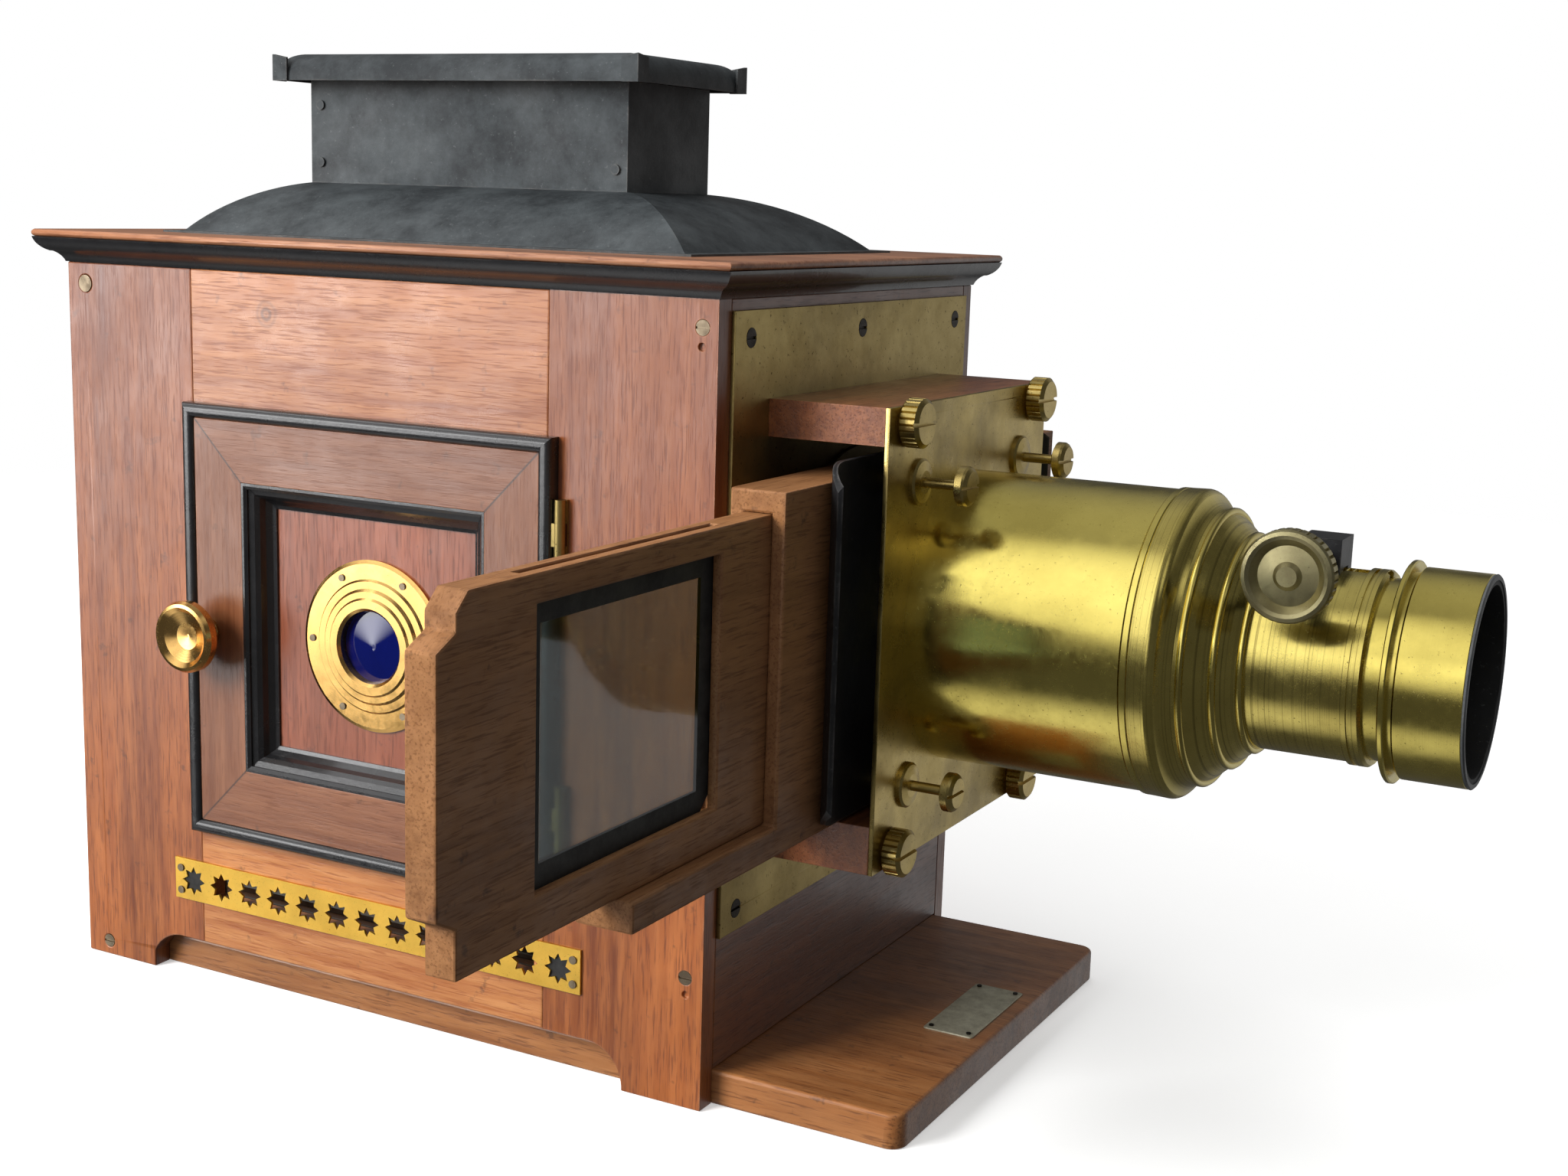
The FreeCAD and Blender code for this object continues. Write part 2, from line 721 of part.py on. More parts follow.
# Condenser cell and its two lenses
face = L + s.plate_thickness
cell_end = s.carrier_rear
bore = s.condenser_radius
edge = s.condenser_edge
cell_start = size(118)
cell = Piece("condenser_cell", 0, 0, lens)
cell.turn("XZ", [[
    (cell_start, bore - 1.9), (cell_start + 1.5, bore - 1.9), (cell_start + 1.5, bore),
    (cell_end - 1.5, bore), (cell_end - 1.5, bore - 1.9), (cell_end, bore - 1.9),
    (cell_end, s.cell_radius), (face + 1.5, s.cell_radius), (face + 1.5, s.cell_radius + 6),
    (face, s.cell_radius + 6), (face, s.cell_radius), (cell_start, s.cell_radius),
]])
spacer = Piece("condenser_spacer", 0, 0, lens)
spacer.turn("XZ", [[
    (cell_start + 2.3 + edge, bore - 1.2), (cell_start + 2.3 + edge, bore - 0.05),
    (cell_end - 2.3 - edge, bore - 0.05), (cell_end - 2.3 - edge, bore - 1.2),
]])
bulge = s.condenser_sag
curve = (bore * bore + bulge * bulge) / (2 * bulge)
rear_lens = Piece("condenser_rear_lens", cell_start + 1.5, 0, lens)
rear_lens.turn("XZ", [[(0, 0), (edge + bulge, 0, (curve, 1)), (edge, bore), (0, bore)]])
front_lens = Piece("condenser_front_lens", cell_end - 1.5, 0, lens)
front_lens.turn("XZ", [[(0, 0), (0, bore), (-edge, bore, (curve, 1)), (-edge - bulge, 0)]])

# Stage of two blocks and a plate
depth = s.stage_front - face
for name, low, high, sign in (
        ("stage_top_block", top_block_low, top_block_high, 1),
        ("stage_bottom_block", bottom_block_low, bottom_block_high, -1)):
    block = Piece(name, face, 0, 0)
    block.pad("YZ", 0, [box(-s.stage_half_width, low, s.stage_half_width, high)], depth)
    block.cut("YZ", depth - 15, [
        ("circle", s.thumb_side, lens + sign * s.thumb_rise, 2),
        ("circle", -s.thumb_side, lens + sign * s.thumb_rise, 2)], 15)
stage_out = s.stage_front + s.stage_plate_thickness
stage = Piece("stage_plate", s.stage_front, 0, 0)
stage.pad("YZ", 0, [box(-s.stage_half_width, bottom_block_low, s.stage_half_width, top_block_high),
                    ("circle", 0, lens, s.jacket_radius - s.jacket_wall)], s.stage_plate_thickness)
stage_holes = []
for across in (-1, 1):
    for up in (-1, 1):
        stage_holes.append(("circle", across * s.thumb_side, lens + up * s.thumb_rise, 2))
        stage_holes.append(("circle", across * s.plunger_side, lens + up * s.plunger_rise, 3))
stage.cut("YZ", 0, stage_holes, s.stage_plate_thickness)

# Knurled screws that hold the stage plate
thumb = Piece("thumb_screw", stage_out, -s.thumb_side, lens + s.thumb_rise, node=False)
thumb.turn("XZ", [[
    (-s.stage_plate_thickness - 15, 0), (s.thumb_length, 0), (s.thumb_length, s.thumb_radius - 1.4),
    (s.thumb_length - 1.2, s.thumb_radius), (0.8, s.thumb_radius), (0, s.thumb_radius - 0.8), (0, 2),
    (-s.stage_plate_thickness - 15, 2),
]])
thumb.cut("YZ", s.thumb_length - 1.6, [box(-s.thumb_radius - 1, -0.7, s.thumb_radius + 1, 0.7)], 3)
notch = thumb.cut("YZ", 0.8, [[(0.55, s.thumb_radius + 0.2), (-0.55, s.thumb_radius + 0.2), (0, s.thumb_radius - 0.7)]],
                  s.thumb_length - 2)
thumb.around(notch, 24)
node(four("thumb_set", thumb.body), "stage_screws")

# Bushes and plungers of the pressure plate
bush = Piece("bush", stage_out, -s.plunger_side, lens + s.plunger_rise, node=False)
bush.turn("XZ", [[
    (-s.stage_plate_thickness, s.plunger_shaft + s.running_gap), (2.6, s.plunger_shaft + s.running_gap),
    (2.6, 4), (1.9, s.bush_radius - 0.8), (1.2, s.bush_radius), (0, s.bush_radius), (0, 3),
    (-s.stage_plate_thickness, 3),
]])
node(four("bush_set", bush.body), "plunger_bushes")
press_out = s.pressure_rear + s.pressure_thickness
plunger = Piece("plunger", press_out, -s.plunger_side, lens + s.plunger_rise, node=False)
head_at = size(26.0)
plunger.turn("XZ", [[
    (0, 0), (head_at + 5, 0), (head_at + 5, s.plunger_head - 1.6), (head_at + 4, s.plunger_head - 0.4),
    (head_at + 3.2, s.plunger_head), (head_at + 0.8, s.plunger_head), (head_at, s.plunger_head - 1.5),
    (head_at, s.plunger_shaft), (1.4, s.plunger_shaft), (1.4, 4.5), (0, 4.5),
]])
plunger.cut("YZ", head_at + 3.6, [box(-s.plunger_head - 1, -0.6, s.plunger_head + 1, 0.6)], 3)
node(four("plunger_set", plunger.body), "plungers")

# Black pressure plate with flared ends
press = Piece("pressure_plate", s.pressure_rear, 0, lens)
pt = s.pressure_thickness
press.pad("XY", -60.6, [[
    (0, -82), (0, 82, (12, -1)), (6, 92), (6 + pt * 0.8, 92 - pt * 0.6, (10.2, 1)), (pt, 82), (pt, -82, (10.2, 1)),
    (6 + pt * 0.8, -92 + pt * 0.6), (6, -92, (12, -1)),
]], 123)
press.cut("YZ", -1, [("circle", 0, 0, 46)], pt + 2)
corner = 14
corner_loops = []
for across in (-1, 1):
    for up, level in ((1, 62.4), (-1, -60.6)):
        turn_sign = across * up
        corner_loops.append([
            (across * (93 - corner), level, (corner, -turn_sign)), (across * 93, level - up * corner),
            (across * 96, level - up * corner), (across * 96, level + up * 3), (across * (93 - corner), level + up * 3),
        ])
press.cut("YZ", -1, corner_loops, 12)

# Lens jacket with its bead
wall = s.jacket_wall
jr = s.jacket_radius
je = s.jacket_end
jacket = Piece("lens_jacket", 0, 0, lens)
jacket.turn("XZ", [[
    (stage_out, jr - wall), (je, jr - wall), (je, jr + 0.3), (je - 0.6, jr + 0.8), (je - 2.4, jr + 0.8),
    (je - 3.2, jr), (stage_out, jr),
]])

# Stepped lens cone and barrel
br = s.barrel_radius
bb = s.barrel_bore
be = s.barrel_end
cone = Piece("lens_cone", je, 0, lens)
cone.turn("XZ", [[
    (0, jr - wall), (0, jr + 0.8), (5.8, jr + 1.0, (4.0, -1)), (8.6, jr - 0.6, (9, 1)), (13.1, jr - 5.1),
    (15.3, jr - 5.7), (18.2, jr - 8.0), (21.0, jr - 10.6), (24.2, jr - 13.4), (27.7, jr - 16.3), (31.8, br + 0.5),
    (32.4, br), (be - je - 6.4, br), (be - je - 6.4, br + 0.9), (be - je - 4.6, br + 0.9), (be - je - 4.6, br + 0.2),
    (be - je - 3.6, br + 0.2), (be - je - 3.6, br + 0.9), (be - je - 1.0, br + 0.9), (be - je, br + 0.1),
    (be - je, bb), (33, bb), (31.0, bb + 1.6), (27.2, jr - 17.8), (20.6, jr - 12.2), (15.0, jr - 7.4),
    (12.6, jr - 6.6), (7.4, jr - 2.4), (5.6, jr - wall),
]])
cone.cut("XY", bb - 2, [box(27, -3, be - je + 1, 3)], 4.3)

# Pinion box over the barrel
pitch_radius = s.tooth_module * s.pinion_teeth / 2
axle = s.rack_line + pitch_radius
tip = pitch_radius + s.tooth_module * 0.85
saddle = root(br * br - 64)
pinion_box = Piece("pinion_box", s.pinion_at, 0, lens)
pinion_box.pad("YZ", -7, [[
    (-8, saddle, (br, -1)), (8, saddle), (8, axle + 6.9), (-8, axle + 6.9),
]], 14)
pinion_box.pad("XZ", -38, [("circle", 0, axle, 4)], 31)
pinion_box.cut("XY", bb - 2, [box(-tip - 0.4, -3.2, tip + 0.4, 3.2)], axle + tip + 0.4 - bb + 2)
pinion_box.cut("XY", bb - 2, [box(-8, -3.2, 8, 3.2)], 4.3)
pinion_box.cut("XZ", -39, [("circle", 0, axle, 2 + s.running_gap)], 45)

# Pinion and its knob
pinion = Piece("pinion", s.pinion_at, 0, lens + axle)
pinion.pad("XZ", -46, [("circle", 0, 0, 2)], 52)
teeth = 12
pinion.pad("XZ", -2.5, [("circle", 0, 0, pitch_radius - s.tooth_module * 1.1)], 5)
foot_radius = pitch_radius - s.tooth_module * 1.3
tooth = pinion.pad("XZ", -2.5, [[
    (-0.6, -foot_radius), (-0.38, -pitch_radius), (-0.2, -tip), (0.2, -tip), (0.38, -pitch_radius), (0.6, -foot_radius),
]], 5)
pinion.around(tooth, teeth)
kr = s.focus_knob_radius
knob = Piece("focus_knob", s.pinion_at, -s.focus_knob_side, lens + axle)
knob.turn("YZ", [[
    (0.8, 0), (0.8, 3.2), (2.2, 4.6), (3.0, kr - 5.2), (0.6, kr - 3.0), (0, kr - 1.8), (0.4, kr - 0.6), (1.4, kr),
    (6.2, kr), (7.2, kr - 0.8), (7.2, 6.5), (11.5, 5.0), (11.5, 2), (4, 2), (4, 0),
]])
flute = knob.cut("XZ", 1.2, [[(0.7, kr + 0.3), (-0.7, kr + 0.3), (0, kr - 0.9)]], 5.2)
knob.around(flute, 36)

# Focusing tube with rack and flange
fr = bb - s.focus_wall
tube_out = bb - s.running_gap
fs = s.flange_start
hs = s.hood_start
tube = Piece("focus_tube", 0, 0, lens)
tube.turn("XZ", [[
    (s.focus_rear, fr), (hs, fr), (hs, hs * 0 + 33), (fs + 2, hs * 0 + 33), (fs + 2, s.flange_radius - 0.5),
    (fs + 1.6, s.flange_radius), (fs + 0.4, s.flange_radius), (fs, s.flange_radius - 0.5), (fs, tube_out),
    (s.focus_rear, tube_out),
]])
rack_root = s.rack_line - s.tooth_module
tooth_gap = s.tooth_module * math.pi
rack_rear = s.pinion_at - 10.5 * tooth_gap
tube.pad("XY", tube_out - 0.6, [box(rack_rear, -2.5, rack_rear + 16 * tooth_gap, 2.5)], rack_root - tube_out + 0.6)
rack_tooth = tube.pad("XZ", -2.5, [[
    (rack_rear + tooth_gap - 0.6, rack_root - 0.2), (rack_rear + tooth_gap + 0.6, rack_root - 0.2),
    (rack_rear + tooth_gap + 0.375, s.rack_line), (rack_rear + tooth_gap + 0.17, s.rack_line + s.tooth_module * 0.8),
    (rack_rear + tooth_gap - 0.17, s.rack_line + s.tooth_module * 0.8), (rack_rear + tooth_gap - 0.375, s.rack_line),
]], 5)
tube.row(rack_tooth, 14 * tooth_gap, 15)

# Hood and objective lenses
hr = s.hood_radius
he = s.hood_end
hood = Piece("hood", 0, 0, lens)
hood.turn("XZ", [[
    (hs, fr), (hs, hr - 0.6), (hs + 0.6, hr), (he - 0.8, hr), (he, hr - 0.6), (he, hr - 1.4), (hs + 2.5, hr - 2.2),
    (hs + 2.5, fr),
]])
for name, x in (("objective_front_lens", fs - 5), ("objective_rear_lens", s.focus_rear + 3)):
    ground = Piece(name, x, 0, lens)
    dip = 3.2
    swell = (fr * fr + dip * dip) / (2 * dip)
    ground.turn("XZ", [[(-dip, 0), (4 + dip, 0, (swell, 1)), (4, fr), (0, fr, (swell, 1))]])

# Slide carrier with its long lower rail
cr = s.carrier_rear
ct = s.carrier_thickness
ch = s.carrier_half_length
gap = s.running_gap
carrier = Piece("carrier_frame", cr, 0, 0)
carrier.pad("YZ", 0, [[
    (-s.carrier_rest, bottom_block_high), (ch, bottom_block_high), (ch, carrier_high), (-ch, carrier_high),
    (-ch, frame_low - gap), (-s.carrier_rest, frame_low - gap),
], box(-49, window_low, 49, window_high)], ct)
channel = s.channel_rear - cr
carrier.cut("XZ", -ch - 1, [box(channel, frame_low - gap, channel + s.channel_thickness, frame_high + gap)],
            2 * ch - 5)

# Sliding frame with a saw cut for the slide
frame_thick = s.channel_thickness - 2 * gap
mid = -(s.window_outer + s.window_inner) / 2
fe = s.frame_outer_end
slider = Piece("slide_frame", s.channel_rear + gap, 0, 0)
slider.pad("YZ", 0, [[
    (-s.frame_inner_end, frame_low), (-s.frame_inner_end, frame_high), (-fe + 5, frame_high),
    (-fe, frame_high - 5), (-fe, frame_high - 10), (-fe - 8, frame_high - 14), (-fe - 8, frame_low + 18),
    (-fe, frame_low + 14), (-fe, frame_low),
], box(-s.window_outer, window_low, -s.window_inner, window_high)], frame_thick)
slide_low = window_low - 1.4
slide_rear = s.channel_rear + (s.channel_thickness - s.slide_thickness) / 2
slider.cut("XY", slide_low, [box(
    slide_rear - s.channel_rear - gap - 0.2, mid - s.slide_length / 2 - 0.2,
    slide_rear - s.channel_rear - gap + s.slide_thickness + 0.2, mid + s.slide_length / 2 + 0.2)], 95)

# Glass slide and its black binding
sl = s.slide_length / 2
sh = s.slide_height
binding = Piece("slide_binding", slide_rear, mid, slide_low)
pane_box = box(-sl + 9, size(8), sl - 9, sh - 8)
binding.pad("YZ", 0, [[(-sl, 0), (sl - 7, 0), (sl, 7), (sl, sh), (-sl, sh)], pane_box], s.slide_thickness)
pane = Piece("slide_glass", slide_rear, mid, slide_low)
pane.pad("YZ", 0, [pane_box], s.slide_thickness)

# Door frame with its tongue in the wall
dh = s.door_half
dc = s.door_centre
do = s.door_opening_half
bead = s.door_bead
dg = s.door_gap
proud = s.door_face
hole = box(-do, dc - do, do, dc + do)
door = Piece("door_frame", 0, -W, 0)
door.pad("XZ", -proud, [box(-dh + bead, dc - dh + bead, dh - bead, dc + dh - bead), hole], proud - dg)
door.pad("XZ", -dg, [box(-dh + 6, s.door_hole_bottom + 1, dh - 6, s.door_hole_top - 1), hole], T + dg)
beading = Piece("door_bead", 0, -W, 0)
beading.pad("XZ", -proud - 1.5, [
    box(-dh, dc - dh, dh, dc + dh), box(-dh + bead, dc - dh + bead, dh - bead, dc + dh - bead)], proud + 1.5 - dg)
beading.soften("Fillet", 2.2, lambda e: all(abs(v.Y + SIZES["door_face"] + 1.5) < 1e-6 for v in e.Vertexes))

# Door panel, its ogee moulding and the round window
panel_face = -W + s.panel_recess
panel = Piece("door_panel", 0, panel_face, 0)
panel.pad("XZ", 0, [hole, ("circle", 0, dc - 1, 20)], T - s.panel_recess)
mw = s.moulding_width
drop = proud + s.panel_recess
moulding_block = prism("moulding_block", "XZ", -W - proud, [hole], drop)


def hopper(middle):
    def side(sign):
        return [
            (middle + sign * (do - mw), drop), (middle + sign * (do - mw), drop - 0.8),
            (middle + sign * (do - mw + 1.4), drop - 1.2), (middle + sign * (do - mw + 3.2), drop - 3.0),
            (middle + sign * (do - mw + 4.0), drop - 5.2), (middle + sign * (do - mw + 5.4), drop - 6.6),
            (middle + sign * (do - mw + 7.4), drop - 7.4), (middle + sign * (do - mw + 7.4), drop - 8.2),
            (middle + sign * (do - 1.0), 0), (middle + sign * (do - 1.0), -1),
        ]
    return side(1) + side(-1)[::-1]


hopper_long = prism("hopper_long", "XY", dc - do - 1, [hopper(size(0))], 2 * do + 2, 0, -W - proud, 0)
upright = [(point[1], point[0]) for point in hopper(dc)]
hopper_tall = prism("hopper_tall", "YZ", -do - 1, [upright], 2 * do + 2, 0, -W - proud, 0)
hopper_room = both("hopper_room", hopper_long, hopper_tall)
node(both("moulding_ring", moulding_block, hopper_room, "Cut"), "door_moulding")
bezel = Piece("door_bezel", 0, panel_face, dc - 1)
bezel.turn("YZ", [[
    (3, 20), (3, 16), (0, 16), (0, 13.5), (-3.2, 13.5), (-4.2, 14.6), (-4.2, 17.6), (-3.4, 18.4), (-3.4, 20.6),
    (-2.4, 21.6), (-2.4, 24.2), (-1.6, 25), (-1.6, 30.6), (-1.0, 32), (0, 32), (0, 20),
]])
blue = Piece("door_glass", 0, panel_face, dc - 1)
blue.turn("YZ", [[(2.2, 0), (2.2, 16), (0, 16), (0, 13), (-1.6, 0)]])
ring_spots = [("circle", 27.8 * math.cos(a * math.pi / 3), 27.8 * math.sin(a * math.pi / 3), 1.3) for a in range(6)]
node(prism("window_screws", "XZ", panel_face - 2.1, ring_spots, 0.5, 0, 0, dc - 1), "door_screws")
pull = Piece("door_knob", -72, -W - proud, dc - 3)
pull.turn("YZ", [[
    (0, 0), (0, 5.3), (-1.2, 5.3), (-2.0, 4.8), (-5.5, 4.4), (-7.5, 7.5), (-8.6, 12.4), (-10.2, 13.5), (-13.0, 13.5),
    (-14.6, 12.6), (-14.9, 11.4), (-13.4, 9.6), (-11.6, 5.0), (-11.2, 0),
]])

# Hinges with three knuckles each
hx = dh + 2.2
hy = -W - 2.2
hk = s.hinge_radius
third = s.hinge_height / 3
fixed_parts = []
moving_parts = []
for number, low in enumerate((dc - 62, dc + 38)):
    tag = str(number)
    fixed_parts.append(prism("hinge_plate" + tag, "XY", low, [box(hx + 2.2, -W - 1, hx + 15, -W)], 3 * third))
    for which, start in (("a", low), ("b", low + 2 * third)):
        fixed_parts.append(prism("hinge_knuckle" + which + tag, "XY", start, [("circle", hx, hy, hk)], third))
        fixed_parts.append(prism("hinge_tab" + which + tag, "XY", start, [box(hx, -W - 1.2, hx + 2.2, -W)], third))
    fixed_parts.append(prism("hinge_pin" + tag, "XY", low, [("circle", hx, hy, 0.9)], 3 * third))
    moving_parts.append(prism("hinge_door_knuckle" + tag, "XY", low + third + 0.05, [
        ("circle", hx, hy, hk)], third - 0.1))
    moving_parts.append(prism("hinge_door_tab" + tag, "XY", low + third + 0.05, [
        box(dh, hy - 1.9, hx - 0.8, hy + 1.9)], third - 0.1))
node(joined("hinge_fixed_set", fixed_parts), "fixed_hinge_leaves")
knuckles = joined("hinge_door_set", moving_parts)
pin_room = prism("hinge_pin_room", "XY", dc - 70, [("circle", hx, hy, 0.9 + s.running_gap)], 150)
node(both("hinge_door_bored", knuckles, pin_room, "Cut"), "door_hinge_leaves")

# Lamp on its sliding tray
lw = s.lamp_half_width
tray_low = base_top + 0.1
tray = Piece("lamp_tray", 0, 0, tray_low)
tray.pad("XY", 0, [box(-146, -lw, 104, lw)], 8)
tray.cut("XY", 1, [box(-145, -lw + 1, 103, lw - 1)], 8)
tray.cut("XY", -1, [soft_box(size(-125), size(-30), size(-100), size(30), size(6))], 3)
fount = Piece("lamp_fount", 50, 0, tray_low + 1)
fount.pad("XY", 0, [soft_box(size(-42), size(-44), size(42), size(44), size(10))], 52)
fount.pad("XY", 52, [soft_box(size(-30), size(-30), size(30), size(30), size(8))], 6)
burner = Piece("lamp_burner", 50, 0, tray_low + 59)
burner.pad("XY", 0, [soft_box(size(-24), size(-22), size(24), size(22), size(4))], 14)
burner.pad("XY", 14, [soft_box(size(-20), size(-12), size(20), size(12), size(4))], 66)
burner.cut("XY", 14.5, [soft_box(size(-18.5), size(-10.5), size(18.5), size(10.5), size(3))], 70)
burner.cut("YZ", -30, [("circle", 0, 58, 7)], 60)

doc.recompute()

for item in doc.Objects:
    state = item.State
    if "Invalid" in state or "Error" in state:
        raise RuntimeError(item.Name + " did not build: " + str(state))
for item in doc.Objects:
    if item.TypeId in ("PartDesign::Pocket", "PartDesign::Groove"):
        if item.BaseFeature.Shape.Volume - item.Shape.Volume < 1e-3:
            raise RuntimeError(item.Name + " removes nothing")

os.makedirs("parts", exist_ok=True)
for item in nodes:
    shape = item.Shape
    if shape.isNull() or not shape.isValid():
        raise RuntimeError(item.Label + " has no valid shape")
    shape.exportStep("parts/" + item.Label + ".step")
    bounds = shape.BoundBox
    print(item.Label, len(shape.Solids), round(shape.Volume, 1),
          [round(v, 2) for v in (bounds.XMin, bounds.XMax, bounds.YMin, bounds.YMax, bounds.ZMin, bounds.ZMax)])
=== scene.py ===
"""Looks of a mahogany and brass magic lantern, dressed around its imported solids."""

import json
import logging
import math
from dataclasses import dataclass
from enum import Enum
from typing import Optional, Union

import bmesh
import bpy
from mathutils import Matrix, Vector

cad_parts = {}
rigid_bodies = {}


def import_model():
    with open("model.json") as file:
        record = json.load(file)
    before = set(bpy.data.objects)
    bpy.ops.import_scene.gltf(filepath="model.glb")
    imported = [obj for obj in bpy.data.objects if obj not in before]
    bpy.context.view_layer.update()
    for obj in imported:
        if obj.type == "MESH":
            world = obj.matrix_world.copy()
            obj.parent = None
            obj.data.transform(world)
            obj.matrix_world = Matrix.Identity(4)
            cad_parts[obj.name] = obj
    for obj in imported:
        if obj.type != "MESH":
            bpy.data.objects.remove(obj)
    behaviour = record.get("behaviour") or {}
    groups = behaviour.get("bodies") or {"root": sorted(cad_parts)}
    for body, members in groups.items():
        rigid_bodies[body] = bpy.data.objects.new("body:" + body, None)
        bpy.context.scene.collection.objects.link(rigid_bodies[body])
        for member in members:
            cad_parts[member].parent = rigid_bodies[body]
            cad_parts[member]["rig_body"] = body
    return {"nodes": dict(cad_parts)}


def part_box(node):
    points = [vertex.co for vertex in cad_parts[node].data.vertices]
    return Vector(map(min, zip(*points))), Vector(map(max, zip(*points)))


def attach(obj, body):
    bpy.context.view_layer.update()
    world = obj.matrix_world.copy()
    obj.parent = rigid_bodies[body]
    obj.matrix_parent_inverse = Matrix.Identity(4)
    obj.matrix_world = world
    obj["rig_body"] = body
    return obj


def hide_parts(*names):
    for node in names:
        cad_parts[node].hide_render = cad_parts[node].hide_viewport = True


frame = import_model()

LOG = logging.getLogger("lantern")
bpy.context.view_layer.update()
NODES = frame["nodes"]

Pair = tuple[float, float]
Point = tuple[float, float, float]
Colour = tuple[float, float, float]
Material = bpy.types.Material
Node = bpy.types.Node
Tree = bpy.types.NodeTree
Socket = bpy.types.NodeSocket
Value = Union[Socket, float, Colour, Vector]
Drawing = bmesh.types.BMesh
Ring = list[bmesh.types.BMVert]

# Corners closer than this, in metres, are one corner.
SAME_PLACE = 1e-6
# Neighbouring faces that turn by less than this, in degrees, are one flat face.
FLAT_TURN = 0.6
# Edges that turn by more than this, in degrees, are softened, with so many facets across.
SHARP_TURN = 28.0
EDGE_FACETS = 2
# A softened piece is smoothed up to this angle, in degrees, between faces narrower than this, in metres.
EASED_TURN = 35.0
NARROW_FACE = 0.004
# Facets round a turned piece.
ROUND_FACETS = 96
WHITE = (1.0, 1.0, 1.0)


class Grain(Enum):
    """The way the fibres of a wooden piece run, as the fineness of the figure along each axis."""

    ALONG_X = (2.4, 38.0, 38.0)
    ALONG_Y = (38.0, 2.4, 38.0)
    ALONG_Z = (38.0, 38.0, 2.4)


class Turned(Enum):
    """The axis a brass piece was turned about, or none for sheet metal."""

    ABOUT_X = (1.0, 0.0, 0.0)
    ABOUT_Y = (0.0, 1.0, 0.0)
    SHEET = (0.0, 0.0, 0.0)


class Blend(Enum):
    """The kinds of a Mix node, each with its first, second and result socket."""

    NUMBER = ("FLOAT", 2, 3, 0)
    VECTOR = ("VECTOR", 4, 5, 1)
    COLOUR = ("RGBA", 6, 7, 2)


